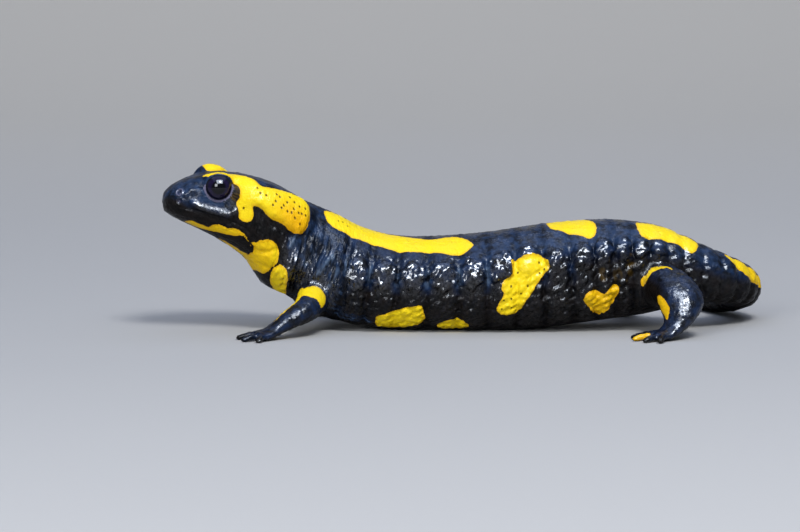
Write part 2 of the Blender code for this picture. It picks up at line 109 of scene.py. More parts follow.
# Limbs from root to knuckles: x, y outwards, z, half width, half thickness
limbJoints = {
    "frontLeft": (-1, [
        (-15.6, 3.0, 6.8, 3.4, 3.4), (-16.3, 7.6, 6.4, 3.1, 3.0), (-16.8, 11.4, 5.8, 2.8, 2.6),
        (-17.8, 14.2, 4.9, 2.5, 2.3), (-20.2, 16.2, 3.7, 2.2, 1.8), (-22.6, 17.6, 2.2, 1.9, 1.35),
        (-24.8, 18.6, 1.0, 2.6, 1.0), (-26.6, 19.2, 0.8, 2.9, 0.9)]),
    "frontRight": (1, [
        (-14.6, 3.0, 7.0, 3.4, 3.4), (-13.8, 7.6, 6.8, 3.1, 3.0), (-12.0, 11.4, 6.4, 2.8, 2.6),
        (-10.9, 14.3, 5.5, 2.5, 2.3), (-11.3, 16.7, 3.9, 2.2, 1.8), (-12.8, 18.2, 2.2, 1.9, 1.35),
        (-14.8, 19.2, 1.0, 2.6, 1.0), (-16.6, 19.8, 0.8, 2.9, 0.9)]),
    "hindLeft": (-1, [
        (46.8, 2.0, 9.2, 4.6, 4.6), (48.8, 6.4, 9.0, 4.3, 4.3), (51.0, 11.0, 8.3, 4.1, 3.9),
        (52.1, 14.2, 6.9, 4.4, 3.4), (51.8, 16.4, 4.6, 3.5, 2.5), (50.7, 17.7, 2.5, 2.6, 1.6),
        (49.0, 18.6, 1.1, 2.8, 1.1), (46.8, 19.4, 0.8, 3.2, 0.95)]),
    "hindRight": (1, [
        (46.8, 2.0, 9.2, 4.6, 4.6), (46.4, 6.4, 9.2, 4.3, 4.3), (45.0, 10.8, 8.8, 3.8, 3.9),
        (44.0, 14.0, 7.4, 3.3, 3.2), (44.6, 16.4, 4.8, 2.6, 2.4), (44.6, 18.0, 2.5, 2.1, 1.6),
        (43.0, 19.2, 1.1, 2.8, 1.1), (41.0, 20.1, 0.8, 3.2, 0.95)]),
}
limbJoints = {name: (side, np.array(joints)) for name, (side, joints) in limbJoints.items()}
# Each digit: turn from the foot's heading in degrees, place across the foot, length
fingers = ((52, 1.5, 3.4), (18, 0.7, 4.6), (-14, -0.5, 4.8), (-48, -1.5, 3.8))
toes = ((58, 1.8, 3.4), (30, 1.1, 4.6), (4, 0.1, 5.4), (-22, -0.9, 5.2), (-50, -1.8, 3.9))
digitProfile = np.array([  # reach, rise, thickness
    (0.0, 0.05, 1.05), (0.35, 0.12, 1.0), (0.65, 0.0, 0.95), (0.9, -0.25, 0.75), (1.0, -0.4, 0.35)])
digitRadius = 0.72
digitStart = (1.2, 0.7)  # behind the knuckles and above the floor


# 0 below low, 1 above high, and an even S between
def smoothStep(value, low, high):
    share = np.clip((value - low) / (high - low), 0, 1)
    return share * share * (3 - 2 * share)


# 1 in the middle, falling off to both sides as a bell of about the given width
def bump(distance, width):
    return np.exp(-((distance / width) ** 2))


# 0 below a, an even S up to 1 at b, and from c an even S back to 0 at d
def within(value, a, b, c, d):
    return smoothStep(value, a, b) * (1 - smoothStep(value, c, d))


# A power that keeps the sign of the value
def signedPower(value, power):
    return np.sign(value) * np.abs(value) ** power


# Distance from each point to the nearest of some places
def nearestOf(points, places):
    return np.min([np.linalg.norm(points - place, axis=1) for place in places], axis=0)


# What would reach below the floor lies on it
def aboveFloor(points):
    points[..., 2] = np.maximum(points[..., 2], 0)
    return points


# The rows of a table at fractional places, on a smooth curve that passes through its rows
def betweenRows(rows, place):
    place = np.asarray(place, float)
    last = len(rows) - 1
    first = np.clip(np.floor(place).astype(int), 0, last - 1)
    t = (place - first)[..., None]
    a, b, c, d = (rows[np.clip(first + k, 0, last)] for k in (-1, 0, 1, 2))
    return b + 0.5 * t * (c - a + t * (2 * a - 5 * b + 4 * c - d + t * (3 * (b - c) + d - a)))


# Random directions blended between the corners of a unit lattice, from about -0.8 to 0.8. In this and
# all the noises below, the seed picks the pattern
def latticeNoise(points, seed):
    base = np.floor(points).astype(np.int64)
    part = points - base
    curve = part * part * (3 - 2 * part)
    total = np.zeros(len(points))
    for corner in itertools.product((0, 1), repeat=3):
        weight = np.prod(np.where(corner, curve, 1 - curve), axis=1)
        total += weight * ((part - corner) * cellRandom(base + corner, seed)).sum(axis=1)
    return total * 1.4


# Three even random numbers from -1 to 1 for each lattice cell
def cellRandom(cells, seed):
    mixed = cells[:, 0] * 73856093 ^ cells[:, 1] * 19349663 ^ cells[:, 2] * 83492791 ^ seed * 2654435761
    mixed = (mixed ^ (mixed >> 13)) * 1274126177 & 0x7FFFFFFF
    mixed = (mixed ^ (mixed >> 11)) * 668265263 & 0x7FFFFFFF
    parts = [(mixed >> shift) & 1023 for shift in (0, 10, 20)]
    return np.stack(parts, axis=1) / 511.5 - 1


# Distance from each point to the nearest of one random point in every lattice cell
def cellDistance(points, seed, spread=(0.42, 0.42, 0.42)):
    base = np.floor(points).astype(np.int64)
    nearest = np.full(len(points), 9.0)
    for step in itertools.product((-1, 0, 1), repeat=3):
        centre = base + step + 0.5 + cellRandom(base + step, seed) * spread
        nearest = np.minimum(nearest, np.linalg.norm(points - centre, axis=1))
    return nearest


# Direction of the body's midline seen from above, in radians from +X
def heading(x):
    return headYaw * (1 - smoothStep(x, *neckBend)) + tailSweep * smoothStep(x, *tailBend)


midlineStep = 0.5
midlineX = np.arange(-50, 140 + midlineStep / 2, midlineStep)
midlineTurns = heading(midlineX[:-1] + midlineStep / 2)
midlineMoves = np.stack([np.cos(midlineTurns), np.sin(midlineTurns)], axis=1) * midlineStep
midline = np.concatenate([[[0.0, 0.0]], np.cumsum(midlineMoves, axis=0)])
midline -= midline[np.argmin(np.abs(midlineX))]


# Where a place on the straight midline comes to lie once the body is bent, seen from above
def midlineAt(x):
    return np.stack([np.interp(x, midlineX, midline[:, k]) for k in (0, 1)], axis=-1)


# Each section's centre, up, side and forward directions on the bent body, with its measures:
# its x on the straight body, half width, and its reach above and below the widest level
def sectionFrames(place):
    backX, backZ, bellyX, bellyZ, halfWidth, level = np.moveaxis(betweenRows(bodySections, place), -1, 0)
    midX = bellyX + level * (backX - bellyX)
    midZ = bellyZ + level * (backZ - bellyZ)
    length = np.hypot(backX - bellyX, backZ - bellyZ)
    lean, rise = (backX - bellyX) / length, (backZ - bellyZ) / length
    turn = heading(midX)
    centre = np.concatenate([midlineAt(midX), midZ[..., None]], axis=-1)
    up = np.stack([lean * np.cos(turn), lean * np.sin(turn), rise], axis=-1)
    side = np.stack([-np.sin(turn), np.cos(turn), np.zeros_like(turn)], axis=-1)
    return centre, up, side, np.cross(side, up), (midX, halfWidth, (1 - level) * length, level * length)


# The head is turned as one piece, about this place on the straight body
headMiddle = -34.0
headTurn, headPlan = heading(headMiddle), midlineAt(headMiddle)


# A straight point on the head, carried to its place on the bent body
def headPoint(point):
    x, y, z = np.moveaxis(np.asarray(point, float), -1, 0)
    x = x - headMiddle
    return np.stack([headPlan[0] + x * np.cos(headTurn) - y * np.sin(headTurn),
                     headPlan[1] + x * np.sin(headTurn) + y * np.cos(headTurn), z], axis=-1)


# The same place of the head on its left and on its right
def bothSides(place):
    return [headPoint(place * np.array([1, side, 1])) for side in (-1, 1)]


# The other way: a bent point as it lies on the straight head
def straightHead(points):
    x, y = points[:, 0] - headPlan[0], points[:, 1] - headPlan[1]
    return np.stack([x * np.cos(headTurn) + y * np.sin(headTurn) + headMiddle,
                     y * np.cos(headTurn) - x * np.sin(headTurn), points[:, 2]], axis=1)


eyeCentres = {side: headPoint(eyePlace * (1, side, 1) + (0, 0, eyeTilt * side)) for side in (-1, 1)}
eyeAxes = {side: headPoint(eyeOutward * (1, side, 1)) - headPoint((0, 0, 0)) for side in (-1, 1)}
eyeAxes = {side: axis / np.linalg.norm(axis) for side, axis in eyeAxes.items()}

# The solids stand over the world's origin, so everything moves with the left eye's node
eyeBox = np.array(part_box("eye_left")) / mm
worldShift = (eyeBox.mean(axis=0) - eyeCentres[-1]) * (1, 1, 0)

folds = {
    "parotoidBack": -20.0, "parotoidFront": -31.5, "parotoidAngle": 50, "parotoidHalfAngle": 27,
    "parotoidHeight": 1.0,
    "orbitAngle": 48, "orbitHalfAngle": 28, "orbitHalfLength": 4.4, "orbitHeight": 1.9,
    "grooves": (-11.0, -6.0, -0.7, 5.0, 11.0, 16.3, 21.7, 27.0, 32.2, 36.6, 40.4, 43.8, 46.9, 50.0),
    "grooveDepth": 0.5, "grooveWidth": 0.75,
    "glandAngle": 67, "glandHalfAngle": 15, "glandHeight": 0.6,
    "tailRingFirst": 52.5, "tailRingSpacing": 3.3, "tailRings": 16, "tailRingDepth": 0.3,
    "gularFold": -18.6, "gularDepth": 0.6,
}


# How far glands and folds raise the skin in the solids, by place along the body and degrees from the back
def relief(x, degrees):
    side = np.abs(degrees)
    front, back = folds["parotoidFront"], folds["parotoidBack"]
    spread = (side - folds["parotoidAngle"]) / folds["parotoidHalfAngle"]
    parotoid = within(x, front - 2.0, front + 2.0, back - 1.0, back + 1.6) * np.exp(-(spread**4))
    orbit = bump(x - eyePlace[0], folds["orbitHalfLength"])
    orbit = orbit * bump(side - folds["orbitAngle"], folds["orbitHalfAngle"])
    height = folds["parotoidHeight"] * parotoid + folds["orbitHeight"] * orbit
    onFlank = within(side, 22, 50, 135, 165)
    for groove in folds["grooves"]:
        height = height - folds["grooveDepth"] * onFlank * bump(x - groove, folds["grooveWidth"])
    row = folds["glandHeight"] * bump(side - folds["glandAngle"], folds["glandHalfAngle"])
    for ahead, behind in zip(folds["grooves"], folds["grooves"][1:]):
        height = height + row * bump(x - (ahead + behind) / 2, (behind - ahead) * 0.32)
    for k in range(folds["tailRings"]):
        ring = bump(x - folds["tailRingFirst"] - k * folds["tailRingSpacing"], 0.6)
        height = height - folds["tailRingDepth"] * (1 - 0.7 * k / folds["tailRings"]) * ring
    return height - folds["gularDepth"] * smoothStep(side, 70, 105) * bump(x - folds["gularFold"], 0.9)


# Rings of the bent body: a full ellipse with slightly square corners, raised by the relief
def bodyRings(places, points):
    centre, up, side, _, (x, halfWidth, above, below) = sectionFrames(places)
    degrees = np.arange(points) * 360 / points
    degrees = np.where(degrees > 180, degrees - 360, degrees)
    rise, out = np.cos(np.radians(degrees)), np.sin(np.radians(degrees))
    wide = halfWidth[:, None] * signedPower(out, 2 / squareness)
    high = np.where(rise > 0, above[:, None], below[:, None]) * signedPower(rise, 2 / squareness)
    size = np.hypot(wide, high)
    raised = (size + relief(x[:, None], degrees) * np.minimum(1, size / 3)) / size
    outwards, upwards = (wide * raised)[..., None], (high * raised)[..., None]
    return aboveFloor(centre[:, None] + side[:, None] * outwards + up[:, None] * upwards)


# Directions along a limb's course, across it level with the ground, and upwards
def limbFrame(joints, places):
    along = betweenRows(joints, places + 0.05)[:, :3] - betweenRows(joints, places - 0.05)[:, :3]
    along /= np.linalg.norm(along, axis=1, keepdims=True)
    across = np.cross(along, (0, 0, 1))
    across /= np.linalg.norm(across, axis=1, keepdims=True)
    return along, across, np.cross(across, along)


# Rings of a limb: ellipses square to its course, their wide way level with the ground
def limbRings(joints, side, places, points):
    here = betweenRows(joints, places)
    _, across, up = limbFrame(joints, places)
    turn = np.arange(points) * math.tau / points
    rings = here[:, None, :3] + across[:, None] * (here[:, 3, None] * np.cos(turn))[..., None]
    rings = rings + up[:, None] * (here[:, 4, None] * np.sin(turn))[..., None]
    return aboveFloor(rings) * (1, side, 1)


# Rings of a digit that lies along the ground and ends in a rounded tip
def digitRings(root, direction, length, side):
    reach, rise, thick = np.moveaxis(betweenRows(digitProfile, np.linspace(0, 4, 17)), -1, 0)
    along = np.array([math.cos(direction), math.sin(direction), 0])
    across = np.array([-along[1], along[0], 0])
    turn = np.arange(14) * math.tau / 14
    centre = root + along * (length * reach)[:, None] + np.array([0, 0, 1]) * rise[:, None]
    rings = centre[:, None] + across * (digitRadius * thick[:, None] * np.cos(turn))[..., None]
    rings[..., 2] += digitRadius * 0.85 * thick[:, None] * np.sin(turn)
    return aboveFloor(rings) * (1, side, 1)


# The digits of a foot. Each starts a little behind the knuckles and turns away from the foot's heading
def footDigits(joints, side, digits):
    wrist, knuckles = joints[5, :3], joints[7, :3]
    forward = math.atan2(knuckles[1] - wrist[1], knuckles[0] - wrist[0])
    ahead = np.array([math.cos(forward), math.sin(forward), 0])
    across = np.array([-ahead[1], ahead[0], 0])
    made = []
    for turn, spread, length in digits:
        root = knuckles - ahead * digitStart[0] + across * spread
        root[2] = digitStart[1]
        made.append(digitRings(root, forward + math.radians(turn), length, side))
    return made


# A unit ball: a point for each angle from its pole and each turn round it
def ballGrid(polar, turn):
    return np.stack([np.sin(polar)[:, None] * np.cos(turn), np.sin(polar)[:, None] * np.sin(turn),
                     np.cos(polar)[:, None] * np.ones(len(turn))], axis=-1)


# One mesh of closed tubes: each is rings of points, joined by quads and capped at both ends
def meshOfTubes(name, tubes):
    points, faces, start = [], [], 0
    for rings in tubes:
        count, around = rings.shape[:2]
        index = start + np.arange(count * around).reshape(count, around)
        after = np.roll(index, -1, axis=1)
        quads = np.stack([index[:-1], after[:-1], after[1:], index[1:]], axis=-1).reshape(-1, 4)
        faces += quads.tolist() + [index[0][::-1].tolist(), index[-1].tolist()]
        points.append(rings.reshape(-1, 3))
        start += count * around
    mesh = bpy.data.meshes.new(name)
    mesh.from_pydata((np.concatenate(points) * mm).tolist(), [], faces)
    return mesh


# One vector for each vertex of a mesh, such as its place in metres or its normal
def vectorsOf(mesh, name):
    flat = np.empty(len(mesh.vertices) * 3, np.float32)
    mesh.vertices.foreach_get(name, flat)
    return flat.reshape(-1, 3).astype(float)


def pointsOf(mesh):
    return vectorsOf(mesh, "co") / mm


def setPoints(mesh, points):
    mesh.vertices.foreach_set("co", (points * mm).astype(np.float32).ravel())
    mesh.update()


def edgesOf(mesh):
    flat = np.empty(len(mesh.edges) * 2, np.int32)
    mesh.edges.foreach_get("vertices", flat)
    return flat.reshape(-1, 2)


# Each point moves a share of the way to the middle of its neighbours
def relax(points, edges, share):
    total = np.zeros_like(points)
    for k in range(3):
        total[:, k] += np.bincount(edges[:, 0], points[edges[:, 1], k], len(points))
        total[:, k] += np.bincount(edges[:, 1], points[edges[:, 0], k], len(points))
    count = np.bincount(edges.ravel(), minlength=len(points))[:, None]
    return points + np.asarray(share).reshape(-1, 1) * (total / count - points)


# Applies an object's modifiers to its mesh
def settle(thing):
    graph = bpy.context.evaluated_depsgraph_get()
    mesh = bpy.data.meshes.new_from_object(thing.evaluated_get(graph))
    thing.modifiers.clear()
    thing.data = mesh


# For any points: place along the body, degrees round from the back, and mm outside the section's outline.
# The nearest of many sections is found first, and then a few steps along the body lead to the very place
def bodyCoordinates(points):
    samples = np.linspace(0, lastSection, lastSection * 8 + 1)
    centres = sectionFrames(samples)[0]
    place = np.empty(len(points))
    for start in range(0, len(points), 20000):
        part = points[start:start + 20000]
        gaps = ((part[:, None] - centres) ** 2).sum(axis=2)
        place[start:start + 20000] = samples[gaps.argmin(axis=1)]
    pitches = np.maximum(np.linalg.norm(np.gradient(centres, axis=0), axis=1) * 8, 0.3)
    for _ in range(5):
        centre, _, _, along, _ = sectionFrames(place)
        ahead = ((points - centre) * along).sum(axis=1) / np.interp(place, samples, pitches)
        place = np.clip(place + np.clip(ahead, -0.4, 0.4), 0, lastSection)
    centre, up, side, _, (x, halfWidth, above, below) = sectionFrames(place)
    out = ((points - centre) * side).sum(axis=1)
    high = ((points - centre) * up).sum(axis=1)
    outShare = signedPower(out / halfWidth, squareness / 2)
    highShare = signedPower(high / np.where(high > 0, above, below), squareness / 2)
    reach = np.hypot(outShare, highShare) ** (2 / squareness)
    outside = np.hypot(out, high) * (1 - 1 / np.maximum(reach, 0.01))
    return {"x": x, "degrees": np.degrees(np.arctan2(outShare, highShare)), "outside": outside}


# For any points: the nearest place on each limb, degrees round it and distance from its skin
def limbCoordinates(points):
    found = {}
    samples = np.linspace(0, 7, 57)
    for name, (side, joints) in limbJoints.items():
        line = betweenRows(joints, samples)
        mirrored = points * (1, side, 1)
        low, high = line[:, :3].min(axis=0) - 9, line[:, :3].max(axis=0) + 9
        near = np.flatnonzero(((mirrored > low) & (mirrored < high)).all(axis=1))
        gaps = np.linalg.norm(mirrored[near][:, None] - line[:, :3], axis=2)
        nearest = gaps.argmin(axis=1)
        along, across, up = limbFrame(joints, samples[nearest])
        offset = mirrored[near] - line[nearest, :3]
        ahead = (offset * along).sum(axis=1)
        wide, high = (offset * across).sum(axis=1), (offset * up).sum(axis=1)
        place, degrees, gap = np.zeros(len(points)), np.zeros(len(points)), np.full(len(points), 99.0)
        place[near] = samples[nearest] + np.clip(ahead / 3.2, -0.08, 0.08)
        degrees[near] = np.degrees(np.arctan2(high, wide)) % 360
        gap[near] = gaps.min(axis=1) - (line[nearest, 3] + line[nearest, 4]) / 2
        found[name] = {"place": place, "degrees": degrees, "gap": gap}
    return found


meshing = {  # sizes in mm
    "voxel": 0.24,  # the grid in which the body, limbs and lids are fused
    "eyeRange": 4.4, "nostrilRange": 1.6,  # where that grid is made twice as fine
    "triangles": 195000, "near": 3.5, "far": 12.0,  # thinned to so many, and less near the eyes and nostrils
}


# The whole animal as one closed surface: rings of the body, limbs, digits and lids, fused on a fine grid
def fusedBody():
    tubes = [bodyRings(np.linspace(0, lastSection, lastSection * 9 + 1), 120)]
    for name, (side, joints) in limbJoints.items():
        tubes.append(limbRings(joints, side, np.linspace(0, 7, 64), 40))
        tubes += footDigits(joints, side, fingers if name.startswith("front") else toes)
    polar, turn = np.linspace(0.06, math.pi - 0.06, 20), np.arange(28) * math.tau / 28
    ahead = np.array([math.cos(headTurn), math.sin(headTurn), 0])
    across = np.array([-ahead[1], ahead[0], 0])
    for side in (-1, 1):
        middle = eyeCentres[side] - eyeAxes[side] * lidBall["sunk"]
        axes = [ahead * lidBall["length"], across * lidBall["width"], (0, 0, lidBall["height"][side])]
        tubes.append(middle + ballGrid(polar, turn) @ np.array(axes))
    skin = bpy.data.objects.new("skin", meshOfTubes("skin", tubes))
    bpy.context.scene.collection.objects.link(skin)
    fuse = skin.modifiers.new("fuse", "REMESH")
    fuse.mode = "VOXEL"
    fuse.voxel_size = meshing["voxel"] * mm
    settle(skin)
    return skin


skin = fusedBody()
print("fused", len(skin.data.vertices), "points")

# Directions at each eye on the bent head: outwards, towards the snout, and up
eyeFrames = {}
for side in (-1, 1):
    outward = eyeAxes[side]
    upward = np.array([0, 0, 1]) - outward * outward[2]
    upward /= np.linalg.norm(upward)
    forward = np.cross(outward, upward)
    eyeFrames[side] = (outward, forward * -np.sign(forward[0]), upward)


# Splits the edges within a radius of some places, for more points there
def refineNear(mesh, places, radius):
    near = nearestOf(pointsOf(mesh), places) < radius
    chosen = np.flatnonzero(near[edgesOf(mesh)].all(axis=1))
    shape = bmesh.new()
    shape.from_mesh(mesh)
    shape.edges.ensure_lookup_table()
    bmesh.ops.subdivide_edges(shape, edges=[shape.edges[k] for k in chosen], cuts=1, use_grid_fill=True)
    shape.to_mesh(mesh)
    shape.free()


# The nostrils, and the pit behind each, on the straight head
nostrilPlace, pitPlace = (-42.3, 4.0, 26.4), (-42.4, 4.4, 25.0)
refineNear(skin.data, eyeCentres.values(), meshing["eyeRange"])
refineNear(skin.data, bothSides(nostrilPlace), meshing["nostrilRange"])

# Markings on the left side: (place on the straight body in mm, degrees down from the back)
leftPatches = {
    "parotoid": [
        (-33.6, 33), (-32.8, 24), (-31.4, 24), (-30.2, 30), (-29.7, 33), (-28.9, 37), (-28.2, 44),
        (-26.9, 42), (-25.2, 37), (-23.5, 31), (-21.6, 27), (-20.5, 34), (-20.1, 48), (-20.1, 62),
        (-20.6, 72), (-21.4, 78), (-23.0, 80), (-24.7, 78), (-26.5, 80), (-28.1, 75), (-28.9, 74),
        (-29.5, 76), (-29.3, 84), (-29.5, 90), (-30.1, 94), (-31.3, 96), (-32.0, 93), (-32.0, 86),
        (-32.4, 76), (-31.8, 69), (-31.6, 60), (-31.8, 52), (-32.8, 45)],
    "eyelid": [
        (-37.8, 30), (-37.0, 22), (-35.2, 19), (-33.4, 22), (-32.4, 28), (-32.2, 38), (-33.4, 42),
        (-35.3, 43), (-37.0, 41)],
    "jaw": [
        (-41.8, 162), (-40.9, 136), (-39.6, 135), (-38.5, 134), (-37.5, 134), (-36.8, 123), (-35.8, 117),
        (-34.6, 116), (-34.0, 116), (-32.4, 111), (-31.5, 113), (-30.7, 114), (-29.3, 129), (-30.9, 118),
        (-32.4, 124), (-33.8, 130), (-35.4, 136), (-37.1, 144), (-38.8, 154), (-40.5, 168)],
    "throat": [
        (-29.9, 121), (-28.8, 118), (-27.2, 105), (-25.5, 99), (-24.5, 100), (-23.8, 105), (-23.7, 113),
        (-23.8, 121), (-24.7, 134), (-25.7, 153), (-26.9, 165), (-27.7, 178), (-28.9, 178), (-29.5, 152),
        (-28.8, 135), (-28.8, 124)],
    "gular": [
        (-35.4, 176), (-34.4, 158), (-32.8, 152), (-31.0, 158), (-30.6, 170), (-31.5, 182), (-34.0, 186)],
    "breast": [
        (-24.0, 144), (-24.2, 134), (-23.7, 123), (-22.8, 116), (-21.8, 116), (-21.1, 124), (-20.8, 136),
        (-20.1, 154), (-19.6, 176), (-20.4, 177), (-21.8, 172), (-23.3, 156)],
    "backStripe": [
        (-17.5, 22), (-16.4, 8), (-14.2, -2), (-11.8, -5), (-9.0, -6), (-6.6, -5), (-4.4, -2), (-0.7, 2),
        (3.2, 11), (5.5, 15), (8.2, 10), (10.5, 11), (12.3, 20), (13.7, 33), (13.2, 39), (11.8, 46),
        (9.1, 48), (7.3, 44), (4.1, 42), (1.5, 42), (-1.5, 42), (-4.0, 39), (-6.6, 38), (-9.4, 38),
        (-12.7, 40), (-15.2, 42), (-16.7, 38)],
    "rumpFront": [
        (28.4, -2), (30.2, -5), (32.9, -6), (35.5, -4), (37.2, 12), (37.6, 28), (37.2, 39), (35.9, 45),
        (34.2, 39), (32.5, 35), (30.7, 28), (28.9, 20)],
    "rumpBack": [
        (44.9, 9), (46.6, 3), (49.1, -2), (51.7, -2), (53.7, 8), (55.2, 24), (54.6, 46), (53.7, 57),
        (52.8, 51), (51.7, 46), (50.0, 44), (47.9, 44), (46.3, 44), (45.3, 38)],
    "tailStripe": [
        (60.3, 30), (62.0, 26), (64.5, 36), (67.0, 48), (70.0, 62), (73.0, 74), (74.0, 86), (71.0, 92),
        (67.5, 90), (64.6, 82), (62.6, 64), (61.0, 48)],
    "flank": [
        (21.5, 62), (23.5, 60), (25.3, 59), (26.7, 61), (28.0, 69), (28.0, 75), (27.1, 79), (25.7, 87),
        (24.8, 93), (23.5, 102), (22.6, 113), (21.2, 121), (19.4, 120), (18.1, 113), (18.6, 102),
        (19.4, 93), (19.0, 88), (19.4, 81), (20.8, 78), (21.2, 72), (20.8, 64)],
    "groin": [
        (34.1, 110), (34.9, 103), (35.9, 101), (36.9, 103), (37.9, 107), (38.8, 103), (39.9, 98),
        (40.9, 101), (40.7, 110), (39.7, 121), (38.6, 131), (37.3, 140), (36.4, 140), (35.4, 127),
        (34.5, 117)],
    "bellyFront": [
        (-4.0, 129), (-2.3, 120), (0.2, 111), (2.3, 106), (4.1, 105), (4.6, 116), (4.7, 135), (0.6, 150),
        (-3.2, 154)],
    "bellyBack": [
        (7.2, 142), (8.0, 133), (9.4, 127), (11.0, 127), (12.3, 133), (12.9, 143), (11.4, 152), (8.6, 152)],
    "tailSideFront": [(78.0, 40), (81.0, 34), (86.0, 42), (88.5, 60), (86.0, 78), (81.0, 80), (78.5, 62)],
    "tailSideBack": [(97.0, 30), (101.0, 24), (106.0, 40), (106.5, 66), (101.0, 74), (97.5, 55)],
    "tailEnd": [(114.5, 20), (118.5, 15), (121.5, 45), (119.0, 80), (115.0, 60)],
}
# Markings on the right side, which the photograph doesn't show: those of the species
rightPatches = {
    "parotoid": leftPatches["parotoid"],
    "eyelid": [
        (-36.4, 30), (-36.0, 20), (-35.0, 17), (-33.4, 20), (-32.4, 28), (-32.2, 38), (-33.4, 42),
        (-35.3, 43), (-36.4, 38)],
    "jaw": leftPatches["jaw"],
    "throat": leftPatches["throat"],
    "stripeFront": [
        (-17.0, 30), (-15.0, 20), (-11.5, 16), (-7.0, 17), (-3.0, 22), (-1.6, 32), (-3.5, 43), (-8.0, 46),
        (-12.5, 45), (-15.8, 42)],
    "stripeMiddle": [
        (4.0, 34), (6.0, 27), (10.0, 25), (14.5, 22), (18.5, 24), (20.4, 34), (18.0, 44), (13.5, 44),
        (9.5, 50), (5.5, 46)],
    "rump": [
        (25.5, 36), (28.0, 26), (32.0, 23), (37.0, 20), (40.5, 27), (40.0, 38), (35.5, 46), (31.0, 50),
        (27.0, 48)],
    "flankFront": [(-4.5, 92), (-1.5, 82), (2.2, 84), (4.5, 92), (3.8, 106), (0.5, 114), (-3.5, 106)],
    "flankBack": [(14.0, 72), (17.0, 64), (20.5, 68), (21.5, 80), (19.8, 96), (16.6, 104), (14.4, 90)],
    "groin": [(33.0, 96), (36.0, 88), (39.5, 92), (40.5, 104), (37.5, 118), (34.0, 112)],
    "tailRoot": [(47.5, 38), (50.5, 28), (54.5, 26), (58.0, 34), (58.5, 50), (54.5, 60), (50.0, 56)],
    "tailMiddle": [(66.0, 32), (70.0, 24), (76.0, 24), (79.5, 40), (77.5, 60), (71.5, 66), (67.0, 54)],
    "tailBack": [(91.0, 26), (96.0, 22), (99.5, 40), (97.5, 68), (92.5, 66), (90.5, 46)],
    "tailTip": [(108.0, 16), (112.5, 18), (113.5, 50), (110.5, 76), (107.5, 50)],
}
# Markings on the limbs: (joints from the root, degrees round: 0 behind, 90 above, 180 in front)
limbPatches = {
    ("frontLeft", "elbow"): [
        (1.15, 153), (1.40, 129), (1.45, 105), (1.35, 87), (1.30, 66), (1.35, 54), (1.50, 36), (1.65, 15),
        (2.05, 0), (2.50, 0), (2.55, 24), (2.50, 45), (2.55, 60), (2.60, 87), (2.25, 129)],
    ("frontLeft", "line"): [
        (1.2, 128), (1.9, 120), (2.6, 112), (3.3, 106), (4.1, 98), (4.9, 96), (5.0, 106), (4.2, 116),
        (3.4, 132), (2.6, 144), (1.8, 154), (1.2, 158)],
    ("hindLeft", "thigh"): [
        (1.10, 176), (1.13, 162), (1.20, 150), (1.20, 129), (1.38, 108), (1.55, 95), (1.95, 90), (1.95, 93),
        (1.68, 101), (1.58, 114), (1.45, 129), (1.40, 153), (1.32, 170), (1.25, 180)],
    ("hindLeft", "knee"): [
        (2.70, 177), (3.25, 153), (3.70, 135), (4.15, 117), (4.45, 111), (5.00, 117), (4.35, 156),
        (3.70, 171)],
    ("frontRight", "elbow"): [
        (1.10, 140), (1.30, 100), (1.35, 60), (1.60, 25), (2.20, 10), (2.60, 40), (2.50, 90), (2.20, 130)],
    ("hindRight", "thigh"): [
        (1.00, 150), (1.10, 110), (1.30, 70), (1.80, 60), (2.20, 85), (2.10, 120), (1.50, 150)],
}

# The toe of the left hind foot with a yellow end: from where to where, and its half width, in mm
toeSpot = (np.array([(45.4, -19.7, 0.9), (43.4, -20.4, 0.9)]), 0.85)

# Sharp folds drawn as lines in the same measures, with their depth and half width in mm. A depth
# under 0 makes a ridge
foldLines = {
    "jawFold": ([(-28.9, 78), (-28.8, 87), (-28.8, 96), (-29.1, 105), (-29.1, 113)], 0.34, 0.3),
    "throatFold": ([(-29.7, 132), (-27.7, 126), (-26.2, 117), (-24.9, 106)], 0.32, 0.3),
    "neckFold": ([(-24.9, 96), (-23.7, 104), (-23.0, 113), (-23.5, 123)], 0.38, 0.3),
    "glandFold": ([(-28.0, 80), (-26.5, 86), (-24.7, 84), (-22.6, 85), (-20.8, 80), (-19.5, 70)], 0.3, 0.45),
    "armFold": ([(-14.7, 114), (-12.4, 128), (-9.4, 134), (-6.6, 135), (-4.0, 136)], 0.35, 0.35),
    "armFoldLow": ([(-15.0, 124), (-12.8, 136), (-9.6, 143), (-6.4, 145)], 0.25, 0.35),
    "throatEdge": ([(-24.2, 99), (-24.0, 108), (-24.0, 118), (-24.4, 130)], 0.34, 0.28),
    "throatFront": ([(-28.6, 134), (-27.5, 124), (-26.7, 117)], 0.24, 0.24),
    "throatLow": ([(-27.7, 147), (-26.4, 140), (-25.0, 132)], 0.2, 0.24),
    "cheekRidge": (
        [(-40.2, 84), (-39.0, 90), (-38.0, 92), (-36.9, 93), (-35.0, 93), (-33.6, 91), (-32.6, 87)],
        -0.55, 0.52),
    "cheekHollow": (
        [(-39.8, 74), (-38.6, 81), (-37.2, 84), (-35.4, 85), (-33.8, 83), (-32.8, 78)], 0.28, 0.5),
    "lipHollow": ([(-41.2, 92), (-39.6, 101), (-37.6, 106), (-35.0, 107), (-33.0, 104)], 0.2, 0.6),
    "armpitRidge": ([(-18.6, 129), (-17.8, 113), (-17.1, 106), (-16.1, 100)], -0.35, 0.35),
    "neckRidge": ([(-14.2, 74), (-15.4, 84), (-16.1, 93), (-16.9, 108)], -0.45, 0.9),
    "snoutRidge": ([(-41.5, 66), (-41.0, 62), (-40.3, 57), (-39.5, 56), (-38.8, 56)], -0.32, 0.45),
    "flankCrack": ([(21.7, 87), (22.6, 84), (23.0, 82), (24.4, 81)], 0.16, 0.2),
}


